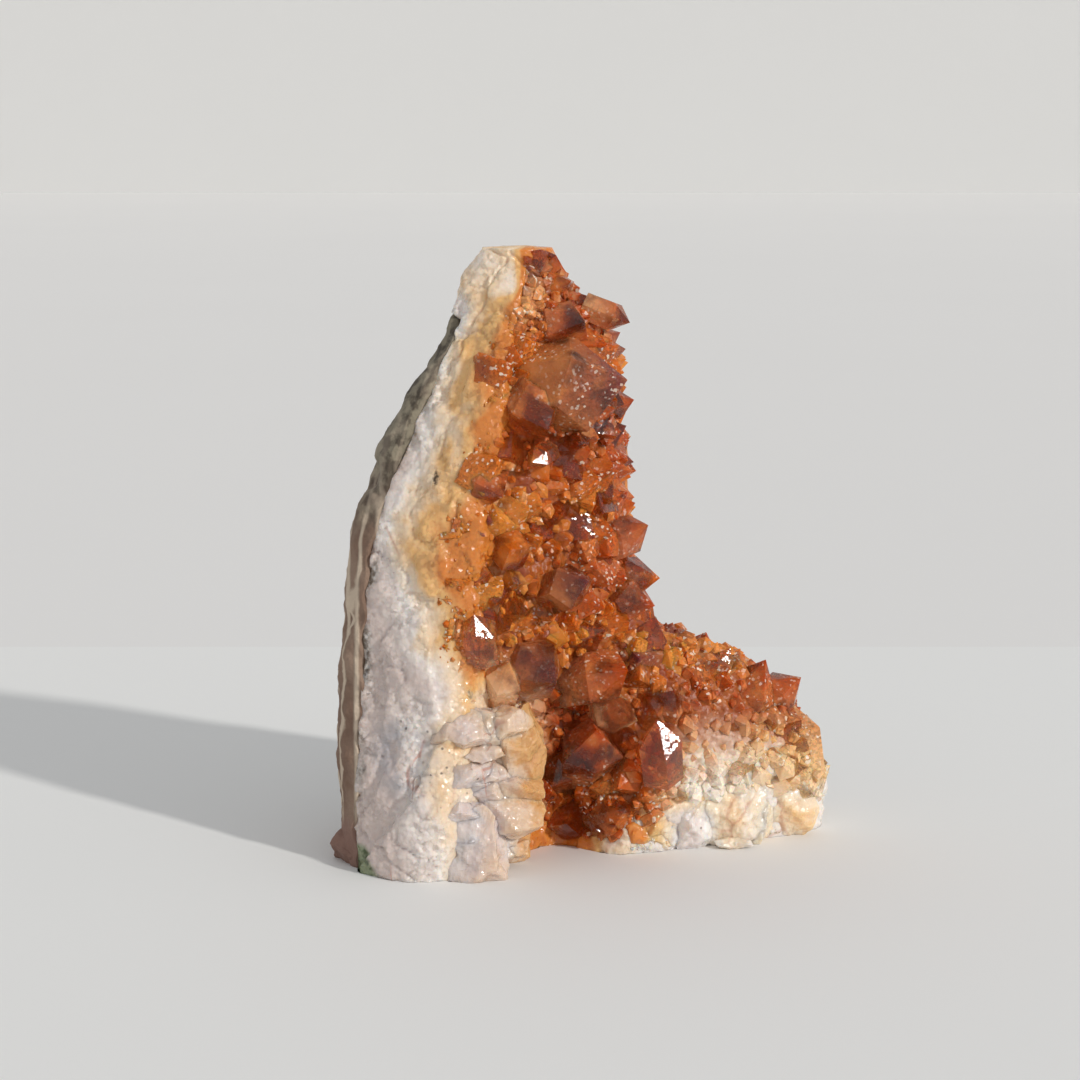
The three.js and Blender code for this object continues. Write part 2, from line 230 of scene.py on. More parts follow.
def wall_points(round_, climb):
    """Points of the loft: up each rail by climb from 0 to 1, then round the rails by round_ from 0 to 1."""
    spans = rails.shape[1] - 1
    ends = 2 * rails[:, :1] - rails[:, 1:2], 2 * rails[:, -1:] - rails[:, -2:-1]
    padded = np.concatenate([ends[0], rails, ends[1]], axis=1)
    climb = np.clip(climb, 0, 1) * spans
    low = np.minimum(climb.astype(int), spans - 1)
    rise = climb - low
    turn = (np.asarray(round_, float) % 1) * len(rails)
    column = turn.astype(int) % len(rails)

    def on_rail(step):
        rail = (column + step) % len(rails)
        return between(*(padded[rail, low + k] for k in range(4)), rise)

    return between(on_rail(-1), on_rail(0), on_rail(1), on_rail(2), turn - np.floor(turn))


def wall_normals(round_, climb):
    """Outward directions: the cross product of a small step round and a small step up."""
    step = 0.004
    across = wall_points(round_ + step, climb) - wall_points(round_ - step, climb)
    higher = wall_points(round_, np.minimum(climb + step, 1))
    lower = wall_points(round_, np.maximum(climb - step, 0))
    return unit(np.cross(across, higher - lower))


def relief(points):
    """Low swells and hollows, the same as on the solids: a slow and a quick product of sines."""
    x, y, z = np.asarray(points).T
    slow = np.sin(0.35 * x + 1.7 * np.sin(0.11 * z)) * np.sin(0.29 * z + 0.2 * y)
    quick = np.sin(0.8 * x - 0.6 * y + 0.5) * np.sin(0.7 * z + 0.4 * x)
    return 0.8 * slow + 0.5 * quick


RELIEF_KEPT = 0.35  # the swells of the solids are coarse; finer ones take their place here


def raised(round_, climb, height):
    """Points of the loft moved out along their normals by a height and a share of the relief."""
    base = wall_points(round_, climb)
    lift = np.asarray(height + RELIEF_KEPT * relief(base))[:, None]
    return base + wall_normals(round_, climb) * lift


# %% [markdown]
# ## Where each layer lies
# The crust and the rind are let into the wall in the solids, so the dressed pieces follow the same borders:
# the rind between two turns of the loft, and the crust between an edge that steps round the front block, a
# far edge, and a foot that rises and falls.

# %% Borders of the layers
RIND_FROM, RIND_TO, RIND_TOP, RIND_INSET = 0.7125, 1.046, 0.825, 3.0
CRUST_FACE_EDGE, CRUST_BLOCK_EDGE, CRUST_FAR_EDGE = 0.19, 0.235, 0.635
CRUST_BLOCK_TOP = (0.33, 0.44)
CRUST_TOP, CRUST_INSET, CRUST_FADE = 0.965, 2.2, 0.05
CRUST_FOOT = [0.14, 0.1, 0.065, 0.085, 0.14, 0.15, 0.155, 0.18]


def crust_start(climb):
    """The turn at which the crust starts, further round below the top of the front block."""
    step = smooth(*CRUST_BLOCK_TOP, climb)
    return CRUST_BLOCK_EDGE + (CRUST_FACE_EDGE - CRUST_BLOCK_EDGE) * step


def crust_foot(share):
    """The climb at which the crust starts, read along its width."""
    return np.interp(share, np.linspace(0, 1, len(CRUST_FOOT)), CRUST_FOOT)


def crust_spot(share, rise):
    """The turn and climb of a share of the crust's width and of its height."""
    foot = crust_foot(share)
    climb = foot + (CRUST_TOP - foot) * rise
    start = crust_start(climb)
    return start + (CRUST_FAR_EDGE - start) * share, climb


def in_bed(round_, climb):
    """How far a place is inside the crust's bed, from 0 at its edge to 1."""
    start = crust_start(climb)
    foot = crust_foot((round_ - start) / (CRUST_FAR_EDGE - start))
    before_far_edge = 1 - smooth(CRUST_FAR_EDGE - CRUST_FADE, CRUST_FAR_EDGE, round_)
    sides = smooth(start, start + CRUST_FADE, round_) * before_far_edge
    ends = smooth(foot, foot + CRUST_FADE, climb) * (1 - smooth(CRUST_TOP - CRUST_FADE, CRUST_TOP, climb))
    return sides * ends


# %% [markdown]
# ## The milky quartz wall
# A broken face of massive quartz is a jumble of flat facets and steps, with sharp edges that catch the light.
# Noise alone gives soft dunes. Here the wall is a fine grid, and convex blocks with flat sides are laid on
# it: each point of the grid rises along its normal to the far side of whichever block covers it. The blocks
# are spread over the whole wall, and a slanting crack sets off the front chunk at the lower left.

# %% Convex blocks as sets of planes
def block_planes(seed, sides=14):
    """Unit directions spread over a ball, each jogged a little: the sides of one convex block."""
    height = 1 - 2 * (np.arange(sides) + 0.5) / sides
    turn = np.arange(sides) * math.pi * (3 - math.sqrt(5)) + seed * 2.4
    width = np.sqrt(1 - height**2)
    even = np.stack([width * np.cos(turn), width * np.sin(turn), height], axis=1)
    jog = np.stack([chance(sides, seed + k) - 0.5 for k in (1, 2, 3)], axis=1)
    return unit(even + 0.7 * jog)


def rise_to_block(points, normals, middle, half, seed, near=2.0):
    """How far each point moves along its normal to leave the block, or 0 where its line misses it: a block
    is what lies below all of its planes, so a line leaves it at the first plane that it crosses outward."""
    planes = block_planes(seed)
    reach = 0.78 + 0.14 * chance(len(planes), seed + 7)
    place = (points - middle) / half
    course = normals / half
    speed = course @ planes.T
    gap = reach - place @ planes.T
    out = np.min(np.where(speed > 1e-6, gap / np.maximum(speed, 1e-6), np.inf), axis=1)
    into = np.max(np.where(speed < -1e-6, gap / np.minimum(speed, -1e-6), -np.inf), axis=1)
    return np.where((out > into) & (out > 0) & (into < near), out, 0.0)


# %% Lay the blocks and the grain on the wall
WALL_COLUMNS, WALL_ROWS = 360, 230
WALL_FOOT = 0.052  # the climb just below the cut
SMALL_BLOCKS = 260


def past_crack(x, z):
    """How far a place is to the lower right of the slanting line of the crack, in millimetres."""
    return 0.856 * (x + 33.5) - 0.518 * (z - 9)


def chunk_step(points):
    """The front chunk's edge: the face rises by a step on the lower right of a slanting crack."""
    x, y, z = points.T
    beyond = past_crack(x, z) + 1.1 * noise(points, 5, 71) + 0.5 * noise(points, 1.6, 72)
    front = 1 - smooth(-14, -9, y)
    return 1.6 * smooth(-0.3, 0.4, beyond) * (1 - smooth(25, 30, z)) * front


def wall_height(round_, climb, base, normals):
    """The layers' beds, the large and small blocks above them, and grain over all."""
    turn = np.where(round_ < 0.5, round_ + 1, round_)
    past_start = smooth(RIND_FROM - 0.004, RIND_FROM + 0.004, turn)
    before_end = 1 - smooth(RIND_TO - 0.004, RIND_TO + 0.004, turn)
    under_rind = smooth(-0.004, 0.004, RIND_TOP - climb) * (past_start * before_end)
    bed = CRUST_INSET * in_bed(round_, climb)
    height = RELIEF_KEPT * relief(base) - RIND_INSET * under_rind - bed + chunk_step(base)
    surface = base + normals * height[:, None]
    rise = np.zeros(len(base))
    bare = 1 - np.maximum(under_rind, in_bed(round_, climb))
    at_round = spread(SMALL_BLOCKS, 0.7548776662)
    at_climb = 0.05 + 0.95 * spread(SMALL_BLOCKS, 0.569840291)
    middles = wall_points(at_round, at_climb) - wall_normals(at_round, at_climb) * 1.6
    sizes = 2.2 + 4.2 * chance(SMALL_BLOCKS, 31) ** 2
    for item in range(SMALL_BLOCKS):
        near = np.linalg.norm(surface - middles[item], axis=1) < sizes[item] * 1.6
        if not near.any():
            continue
        half = sizes[item] * np.array([1, 0.8, 1.4])
        small = rise_to_block(surface[near], normals[near], middles[item], half, item + 200)
        rise[near] = np.maximum(rise[near], np.minimum(small, 0.6))
    creases = 1 - np.abs(rough(surface, 9.0, 3, 17))
    grain = 0.25 * rough(surface, 5.0, 4, 11) + 0.16 * rough(surface, 1.2, 2, 23)
    grain = grain - 0.5 * smooth(0.9, 1.0, creases)
    return height + (rise + grain) * (0.15 + 0.85 * bare)


def wall_grid():
    """The whole wall as rows of points, closed by one point under it and one on top."""
    rounds = np.linspace(0, 1, WALL_COLUMNS, endpoint=False)
    climbs = np.linspace(WALL_FOOT, 1, WALL_ROWS)
    climb, round_ = (a.ravel() for a in np.meshgrid(climbs, rounds, indexing="ij"))
    base = wall_points(round_, climb)
    normals = wall_normals(round_, climb)
    points = base + normals * wall_height(round_, climb, base, normals)[:, None]
    points[:, 2] = np.maximum(points[:, 2], 0)
    points[:WALL_COLUMNS, 2] = 0
    return points, round_, climb


wall_xyz, wall_round, wall_climb = wall_grid()
column = np.arange(WALL_COLUMNS)
following = (column + 1) % WALL_COLUMNS
row_start = np.arange(WALL_ROWS - 1)[:, None] * WALL_COLUMNS
next_row = row_start + WALL_COLUMNS
sides = [row_start + column, row_start + following, next_row + following, next_row + column]
sides = np.stack(sides, axis=-1).reshape(-1, 4)
pole_below, pole_above = len(wall_xyz), len(wall_xyz) + 1
last_row = (WALL_ROWS - 1) * WALL_COLUMNS
below = np.stack([following, column, np.full(WALL_COLUMNS, pole_below)], axis=1)
above = np.stack([last_row + column, last_row + following, np.full(WALL_COLUMNS, pole_above)], axis=1)
top_point = wall_xyz[last_row:].mean(axis=0) + [0, 0, 0.4]
wall_all = np.vstack([wall_xyz, [[0, 12, 0]], top_point])

# How far across the broken face each point is, from 0 at the rind to 1 at the crust: the finish reads it.
face_from = RIND_TO - 1
face_turn = np.where(wall_round > 0.9, wall_round - 1, wall_round)
face_share = np.clip((face_turn - face_from) / (crust_start(wall_climb) - face_from), 0, 1)
far_share = np.clip((RIND_FROM - wall_round) / (RIND_FROM - CRUST_FAR_EDGE), 0, 1)
is_face = (wall_round < 0.45) | (wall_round > 0.9)
across = np.where(is_face, face_share, far_share)
start = crust_start(wall_climb)
below_crust = crust_foot((wall_round - start) / (CRUST_FAR_EDGE - start)) - wall_climb
in_turn = (wall_round > start) & (wall_round < CRUST_FAR_EDGE)
crust_share = (wall_round - start) / (CRUST_FAR_EDGE - start)
whiter = 0.45 * smooth(-0.05, 0.01, below_crust) * smooth(0.34, 0.42, crust_share)
across = np.where(in_turn, across + 0.3 * (1 - smooth(0.34, 0.42, crust_share)) - whiter, across)
cap = smooth(102, 106, wall_xyz[:, 2]) * (1 - smooth(-12, -9.5, wall_xyz[:, 0]))
across = across * (1 - cap) + 0.3 * cap
across = np.append(across, [0.5, 0.5])
rock = make_piece(
    "milky_quartz_rock",
    wall_all,
    sides.tolist() + below.tolist() + above.tolist(),
    {"across": across},
)

# %% [markdown]
# ## The front chunk and the base of the foot
# At the lower left a chunk of stacked, blocky quartz stands out from the face, and the front of the foot
# ends in white blocks. Noise can't make such edges. Here each block is a convex solid cut by random planes,
# made as a fine polar grid so that noise can wear its flats, and the blocks are left to run into each other.

# %% Stacked blocks
CHUNK_BLOCKS = [
    # middle, half sizes
    ([-20.5, -15, 8], [9.5, 7.5, 11]),
    ([-15.5, -13, 21], [8.0, 6.0, 9]),
    ([-17.5, -16.5, 26], [6.5, 4.5, 4.5]),
    ([-10.5, -13.5, 21.5], [5.0, 5.5, 8]),
    ([-20.5, -17, 18], [7.5, 5, 6]),
    ([-13.5, -16.5, 11], [7.5, 6, 5.5]),
    ([-19, -19.3, 5], [7.0, 5.2, 9]),
    ([-28.5, -17, 6], [5.5, 5, 9]),
    ([-31, -14, 5], [6, 6, 8]),
    ([-27, -16, 14], [5, 5, 7]),
    ([-23, -16, 21], [4, 5.5, 6.5]),
    ([-14, -9, 4], [5, 5, 5.5]),
]
FOOT_BLOCKS = [
    ([15, 1, 5], [8, 6.5, 7.5]),
    ([12, -1, 2.5], [6, 5, 4.5]),
    ([21, 1, 4], [5, 5, 5.5]),
    ([28, 4, 6], [8.5, 6.5, 8]),
    ([33, 5.5, 3.5], [5, 5, 6]),
    ([39, 11, 7], [8, 7.5, 9]),
    ([42, 13, 13], [4.5, 6, 6]),
    ([35, 8, 13], [6, 5, 5]),
    ([24, 3.5, 10], [5, 4.5, 5]),
    ([29.5, -1.6, 1.0], [3.6, 1.8, 0.8]),
]


def boulder(name, blocks, seed, grain, warm, rows=60, columns=90):
    """One closed lump for each block, in polar form round the block's middle: its distance in each
    direction is that at which a ray leaves the block, with noise added along the ray."""
    rise = np.linspace(-math.pi / 2, math.pi / 2, rows)
    turn = np.linspace(0, 2 * math.pi, columns)
    rise, turn = (a.ravel() for a in np.meshgrid(rise, turn, indexing="ij"))
    ways = np.stack([np.cos(rise) * np.cos(turn), np.cos(rise) * np.sin(turn), np.sin(rise)], axis=1)
    points, faces = [], []
    for item, (middle, half) in enumerate(blocks):
        start = np.tile(np.array(middle, float), (len(ways), 1))
        reach = rise_to_block(start, ways, np.array(middle), np.array(half), seed + item * 7, np.inf)
        lump = start + ways * reach[:, None]
        wear = 0.8 * rough(lump, 5.0, 4, seed) + 0.3 * rough(lump, 1.2, 2, seed + 5)
        lump += ways * (grain * wear)[:, None]
        faces.append(grid_faces(rows, columns, item * len(ways)))
        points.append(lump)
    points = np.vstack(points)
    points[:, 2] = np.maximum(points[:, 2], 0)
    across = np.interp(points[:, 0], *warm)
    return weld(make_piece(name, points, np.vstack(faces).tolist(), {"across": across}))


def weld(piece):
    """Joins points that lie in one place, so that sheets which meet are one closed surface."""
    work = bmesh.new()
    work.from_mesh(piece.data)
    bmesh.ops.remove_doubles(work, verts=work.verts, dist=2e-6)
    bmesh.ops.recalc_face_normals(work, faces=work.faces)
    work.to_mesh(piece.data)
    work.free()
    return piece


RUBBLE = 20
rubble_x = -27.5 + 16.5 * spread(RUBBLE, 0.7548776662, 0.1)
rubble_z = 1.5 + 26.5 * spread(RUBBLE, 0.569840291, 0.4)
rubble_y = np.interp(rubble_x, [-28, -19, -13, -8], [-18.8, -18.6, -15.5, -11.5])
rubble_size = 2.4 + 2.2 * chance(RUBBLE, 91)
beyond_crack = past_crack(rubble_x, rubble_z) > 1.5
CHUNK_BLOCKS += [
    ([x, y, z], [size * 1.35, size * 1.1, size * 0.8])
    for x, y, z, size, kept in zip(rubble_x, rubble_y, rubble_z, rubble_size, beyond_crack) if kept
]
CHUNK_WARMTH = ([-34, -20, -13, -7], [0.5, 0.55, 0.8, 1.05])
FOOT_WARMTH = ([8, 14, 20, 32, 42], [1.5, 0.95, 0.6, 0.62, 0.85])
chunk = boulder("front_chunk", CHUNK_BLOCKS, 300, 0.8, CHUNK_WARMTH, 46, 72)
foot_base = boulder("foot_base", FOOT_BLOCKS, 500, 1.0, FOOT_WARMTH)

# %% [markdown]
# ## The basalt rind
# The host rock is a thin, rough, matt skin. It is a slab over part of the same loft: an outer sheet with
# pits and ridges, an inner sheet sunk behind it, and a rim that joins them so that the piece is closed.


# %% Where the crust has grown white
def paleness(points):
    """How white the crust has grown at a place: near the face's lower edge and on the foot's front."""
    x, y, z = points.T
    foot_front = smooth(12, 22, x) * (1 - smooth(9, 29, z + 0.3 * (y - 5)))
    beside_face = (1 - smooth(-13, -7, x + 0.12 * (z - 60))) * (1 - smooth(30, 45, z)) * smooth(14, 20, z)
    cap = smooth(97, 101, z) * (1 - smooth(107, 110, z)) * (1 - smooth(-8, -4, x))
    patches = 0.25 * noise(points, 9, 83) * foot_front
    return np.clip(foot_front + 0.6 * beside_face + 0.25 * cap + patches, 0, 1)


# %% A closed slab over part of the wall
def slab(name, spot, rows, columns, outer, inner, edge=0.012):
    """Two grids over the same shares of a region, outer and inner, that meet round their rim."""
    share = np.concatenate([[0], np.linspace(edge, 1 - edge, columns - 2), [1]])
    rise = np.concatenate([[0], np.linspace(edge, 1 - edge, rows - 2), [1]])
    rise_grid, share_grid = (a.ravel() for a in np.meshgrid(rise, share, indexing="ij"))
    round_, climb = spot(share_grid, rise_grid)
    base = wall_points(round_, climb)
    on_rim = (share_grid == 0) | (share_grid == 1) | (rise_grid == 0) | (rise_grid == 1)
    sunk = inner * np.ones(len(base))
    top = np.where(on_rim, inner + 0.3, outer(base, share_grid, rise_grid))
    upper = raised(round_, climb, top)
    lower = raised(round_, climb, np.where(on_rim, inner + 0.3, sunk))
    points = np.vstack([upper, lower])
    points[:, 2] = np.maximum(points[:, 2], 0)
    front = grid_faces(rows, columns)
    back = grid_faces(rows, columns, rows * columns)[:, ::-1]
    shares = {"across": np.tile(share_grid, 2), "pale": paleness(points)}
    piece = make_piece(name, points, front.tolist() + back.tolist(), shares)
    return weld(piece)


def rind_spot(share, rise):
    """The turn and climb of a share of the rind, with a ragged border."""
    ragged = 0.003 * np.sin(rise * 37) + 0.002 * np.sin(rise * 91 + 2) + 0.007
    top = RIND_TOP + 0.012 * np.sin(share * 31) + 0.004 * np.sin(share * 77)
    round_ = RIND_FROM - 0.006 + (RIND_TO + ragged - RIND_FROM + 0.006) * share
    return round_, WALL_FOOT + (top - WALL_FOOT) * rise


def rind_outer(base, share, rise):
    """Proud of the wall, with wide swells, pits where the noise is deepest, and grain."""
    swell = 0.5 * rough(base, 16, 3, 41)
    pits = -1.6 * smooth(0.35, 0.8, noise(base, 6.5, 44))
    grain = 0.28 * rough(base, 2.2, 3, 47)
    bulge = 2.4 * smooth(66, 78, base[:, 2]) * (1 - smooth(86, 94, base[:, 2])) * smooth(0.75, 0.95, share)
    behind = smooth(2, 12, base[:, 1])
    dents = (0.5 * rough(base, 5, 3, 48) - 1.4 * smooth(0.0, 0.6, noise(base, 15, 46))) * behind
    return 0.45 + swell * 0.6 + pits + grain + bulge + dents


rind = slab("basalt_skin", rind_spot, 200, 240, rind_outer, -RIND_INSET + 0.1)
KNOB_BLOCKS = [([-40, -7.5, 2], [5.5, 6, 5.5]), ([-36, -10, 1], [4, 4, 3])]
knob = boulder("basalt_knob", KNOB_BLOCKS, 700, 0.7, ([0, 1], [0, 0]))

# %% [markdown]
# ## The citrine crust
# Between its points, the crust is a sugary mass of tiny crystals. A lumpy bed carries them. The points
# themselves are all one shape: a six-sided prism that ends in a six-sided pyramid, with unequal faces. One
# function works out any number of points at once, as arrays.


# %% The bed of the crust
BED_PROUD = -0.8


def bed_outer(base, share, rise):
    """Lumps the size of small crystals on a slow swell, lower along the borders."""
    inside = smooth(0, 0.05, share) * smooth(0, 0.05, 1 - share)
    inside = inside * smooth(0, 0.04, rise) * smooth(0, 0.04, 1 - rise)
    lumps = 0.7 * rough(base, 6.0, 3, 61) + 0.45 * rough(base, 1.5, 2, 65)
    return (BED_PROUD + lumps) * inside - 1.0 * (1 - inside)


bed = slab("citrine_bed", crust_spot, 246, 200, bed_outer, -CRUST_INSET - 0.4, edge=0.004)


# %% Many quartz points at once
PRISM = np.array([[0, 1 + i, 1 + (i + 1) % 6] for i in range(6)], int)
PRISM_SIDES = np.array([[1 + i, 7 + i, 7 + (i + 1) % 6, 1 + (i + 1) % 6] for i in range(6)], int)
PRISM_END = np.array([[12, 11, 10, 9, 8, 7]], int)
POINT_SLOPE = 1.1  # height of the pyramid over the radius


def quartz_points(tips, axes, radii, reaches, seed):
    """Thirteen corners for each point: its tip, six shoulders below it and six more at its root. The
    spokes and shoulders differ a little, as on real points, where three pyramid faces outgrow the rest."""
    count = len(tips)
    side = unit(np.cross(axes[:, [2, 0, 1]], axes))
    other = np.cross(axes, side)
    turn = (chance(count, seed) * math.pi)[:, None] + np.arange(6) * math.pi / 3
    cells = np.stack(np.meshgrid(np.arange(count), np.arange(6), [0], indexing="ij"), -1)[:, :, 0]
    uneven = 0.84 + 0.3 * hashed(cells, seed + 1)
    cosine = (np.cos(turn) * uneven)[..., None]
    sine = (np.sin(turn) * uneven)[..., None]
    spokes = (cosine * side[:, None] + sine * other[:, None]) * radii[:, None, None]
    shoulder = POINT_SLOPE * radii[:, None] * np.where(np.arange(6) % 2, 1.16, 0.84)
    upper = tips[:, None] + spokes - axes[:, None] * shoulder[..., None]
    lower = tips[:, None] + spokes * 0.94 - axes[:, None] * reaches[:, None, None]
    return np.concatenate([tips[:, None], upper, lower], axis=1)


def point_faces(count):
    """The faces of every point, each set numbered thirteen past the last."""
    start = (np.arange(count) * 13)[:, None, None]
    faces = []
    for group in (PRISM, PRISM_SIDES, PRISM_END):
        faces += (start + group).reshape(-1, group.shape[1]).tolist()
    return faces


# %% [markdown]
# ## The large crystals
# The eye knows this specimen by its largest points, so each of these stands where the photograph shows one.
# Scattering them by chance would give a crust of the right kind, but not this one. Each has its tip, the
# way it points, its radius and the name of its tip's tint.

# %% Places and tints of the large crystals
LARGE_POINTS = [
    ([8.8, -13.5, 89.6], [0.92, -0.37, 0.1], 8.6, "violet"),
    ([9.5, -3, 98.9], [0.9, -0.15, -0.36], 2.9, "rust"),
    ([10.6, 4, 84.1], [0.99, -0.1, 0.1], 3.0, "rust"),
    ([10.6, 4, 72.5], [0.99, 0, -0.1], 3.2, "amber"),
    ([13.2, 0, 61.3], [0.87, -0.32, 0.38], 4.6, "rust"),
    ([15.6, 3, 50.8], [0.98, -0.21, 0.05], 5.0, "amber"),
    ([14.5, -1, 46.3], [0.86, -0.5, -0.1], 4.6, "rust"),
    ([1.8, -15, 53.6], [0.6, -0.72, 0.35], 4.6, "violet"),
    ([-18.5, -20.5, 48.5], [0.2, -0.75, 0.6], 3.4, "honey"),
    ([-3.9, -16, 34.9], [0.56, -0.81, -0.15], 6.2, "violet"),
    ([-12.4, -18, 39.3], [0.2, -0.61, 0.75], 4.0, "honey"),
    ([14.6, -10.4, 27.0], [0.05, -0.6, 0.8], 4.5, "rust"),
    ([3.6, -10, 24.9], [0.1, -0.75, 0.65], 6.0, "rust"),
    ([24.7, 9, 39.3], [0.31, -0.25, 0.92], 4.6, "rust"),
    ([36, 8, 34.2], [0.35, -0.2, 0.91], 6.0, "rust"),
    ([43, 10.5, 30.2], [0.78, -0.1, 0.62], 4.4, "rust"),
    ([18, -4, 31], [0.2, -0.61, 0.76], 3.6, "rust"),
    ([9.3, -8, 35.7], [0.72, -0.62, 0.31], 6.0, "rust"),
    ([8.2, -9, 28.1], [0.31, -0.93, 0.21], 4.4, "pale"),
    ([-1.9, -4, 5.4], [-0.1, -0.98, 0.16], 4.0, "amber"),
    ([-5.3, -7, 10.1], [0.76, -0.51, 0.41], 3.8, "pale"),
    ([-3.4, -4, 18.1], [0, -0.71, 0.71], 3.5, "amber"),
    ([-12, -20, 60.1], [0.1, -0.97, 0.2], 4.0, "amber"),
    ([-13.3, -19, 69.4], [0.62, -0.72, -0.31], 4.2, "rust"),
    ([-9.4, -6.8, 111.0], [-0.1, -0.85, 0.5], 2.2, "rust"),
    ([-6.6, -6.4, 112.3], [0.1, -0.75, 0.65], 2.8, "rust"),
    ([-3.9, -5.0, 111.2], [0.5, -0.7, 0.5], 2.6, "rust"),
    ([-1.2, -5, 106.6], [0.65, -0.7, 0.3], 3.2, "amber"),
    ([-4.6, -8.5, 102.6], [0.1, -0.95, 0.3], 2.8, "rust"),
    ([3.4, -2, 103.2], [0.8, -0.4, 0.45], 3.2, "rust"),
    ([1.2, -11, 99.7], [0.61, -0.76, 0.2], 5.0, "rust"),
    ([-5.4, -19, 81.3], [0.35, -0.85, -0.4], 5.4, "amber"),
    ([-8.3, -18.0, 75.5], [0.3, -0.85, 0.3], 2.3, "honey"),
]
GLINTS = [8, 11, len(LARGE_POINTS) - 1]  # the three whose faces mirror the lamp
MILKY = [0, 17]  # the two that are frosted nearly all over
CLEAREST = 8  # the one that is as clear as the pale points
TINTS = {
    "rust": (0.42, 0.055, 0.002),
    "amber": (0.56, 0.12, 0.004),
    "violet": (0.16, 0.032, 0.045),
    "pale": (0.78, 0.46, 0.25),
    "honey": (0.68, 0.24, 0.03),
    "root": (0.66, 0.22, 0.04),
    "gold": (0.82, 0.50, 0.20),
    "white": (0.94, 0.84, 0.74),
}


def mix_tints(first, second, share):
    """A blend of two tints for each share."""
    return np.array(first) * (1 - share[:, None]) + np.array(second) * share[:, None]


HOLLOW_PAINTED_SHADE = np.array([0.3, 0.5, 0.6])  # painted shade: how much red, green and blue the tints lose inside the hollow


def in_hollow(points_xyz):
    """One inside the hollow under the wall, where light only comes back through citrine, else zero: where the
    tints get painted shade.
    """
    across = smooth(-13, -8, points_xyz[:, 0]) * (1 - smooth(4, 9, points_xyz[:, 0]))
    return across * (1 - smooth(16, 23, points_xyz[:, 2]))


def point_tints(tips, tip_tints, points_xyz):
    """Corner colours: the tip's tint at the pyramid, the root's tint below. Where the crust is pale, each
    corner goes by its own place, so that neighbours run into one another. Inside the hollow under the wall
    the colours are darkened with painted shade."""
    count = len(tips)
    is_violet = smooth(0.01, 0.045, tip_tints[:, 2]) * (tip_tints[:, 0] < 0.4)
    paler = np.where(is_violet > 0.5, 0.05, 0.2 + 0.7 * chance(count, 91))
    root = mix_tints(TINTS["root"], TINTS["pale"], paler)
    kept = (0.75 - 0.25 * is_violet)[:, None]
    colours = np.empty((count, 13, 3))
    colours[:, 0] = tip_tints
    colours[:, 1:7] = (kept * tip_tints + (1 - kept) * root)[:, None]
    colours[:, 7:] = root[:, None]
    pale = paleness(points_xyz)
    whiter = mix_tints(TINTS["pale"], TINTS["white"], smooth(0.45, 1.0, pale))
    right_end = smooth(29, 37, points_xyz[:, 0]) * smooth(6, 10, points_xyz[:, 2])
    whiter = whiter + (np.array(TINTS["gold"]) - whiter) * (0.7 * right_end)[:, None]
    share = smooth(0.0, 0.55, pale)[:, None]
    # Painted shade: the colours are darkened inside the hollow under the wall.
    hollow_painted_shade = 1 - HOLLOW_PAINTED_SHADE * in_hollow(points_xyz)[:, None]
    return (colours.reshape(-1, 3) * (1 - share) + whiter * share) * hollow_painted_shade


large_tips = np.array([p[0] for p in LARGE_POINTS], float)
large_axes = unit(np.array([p[1] for p in LARGE_POINTS], float))
large_radii = np.array([p[2] for p in LARGE_POINTS], float)
large_tints = np.array([TINTS[p[3]] for p in LARGE_POINTS], float)


# %% [markdown]
# ## The points between them
# Between the large crystals the crust is full of points from one to about ten millimetres wide. Placing
# them by hand would take a day. So they are spread evenly over the crust, lean away from the wall's normal
# by chance, and are left out where a large crystal stands. The smallest ones are the glittering druse.


# %% Scatter points over the crust
def in_large(points, margin):
    """Which points lie in or just off one of the large crystals: nearer to its axis than the crystal is
    wide there. The width grows from the tip to the shoulders and is even from there on."""
    inside = np.zeros(len(points), bool)
    for tip, axis, radius in zip(large_tips, large_axes, large_radii):
        below = (tip - points) @ axis
        aside = np.linalg.norm(points - tip + np.outer(below, axis), axis=1)
        width = radius * np.clip(below / (POINT_SLOPE * radius) + 0.25, 0, 1)
        inside |= (below > -0.3 * radius) & (below < 1.8 * radius) & (aside < width * 0.9 + margin)
    return inside


def scattered_points(count, radii_range, base, lift, lean, seed, start):
    """Points spread evenly over the crust, their axes near the wall's normal. Each tip is raised by a base
    height and by its radius times a lift, up to a limit, so that only large crystals break the outline. On
    the foot and the right side the points sit deeper."""
    share = 0.01 + 0.98 * spread(count, 0.7548776662, start)
    rise = 0.01 + 0.98 * spread(count, 0.569840291, start)
    round_, climb = crust_spot(share, rise)
    radii = radii_range[0] + (radii_range[1] - radii_range[0]) * chance(count, seed) ** 1.3
    leaning = np.stack([chance(count, seed + k) - 0.5 for k in (2, 3, 4)], axis=1)
    axes = unit(wall_normals(round_, climb) + leaning * lean)
    place = wall_points(round_, climb)
    on_foot = smooth(13, 18, place[:, 0]) * (1 - smooth(44, 50, place[:, 2]))
    right_side = smooth(4, 8, place[:, 0]) * smooth(46, 54, place[:, 2])
    radii = radii * (1 + 0.35 * on_foot)
    sunk = np.where(radii < 2, 0.3, 1.1)
    tips = raised(round_, climb, base + np.minimum(lift * radii, 2.6) - sunk * on_foot - 1.1 * right_side)
    keep = ~in_large(tips, 0.3 * radii)
    keep &= (radii < 2.2) | (tips[:, 2] < 97)
    keep &= (radii < 2) | (chance(count, seed + 9) > 0.35 * on_foot)
    return tips[keep], axes[keep], radii[keep]


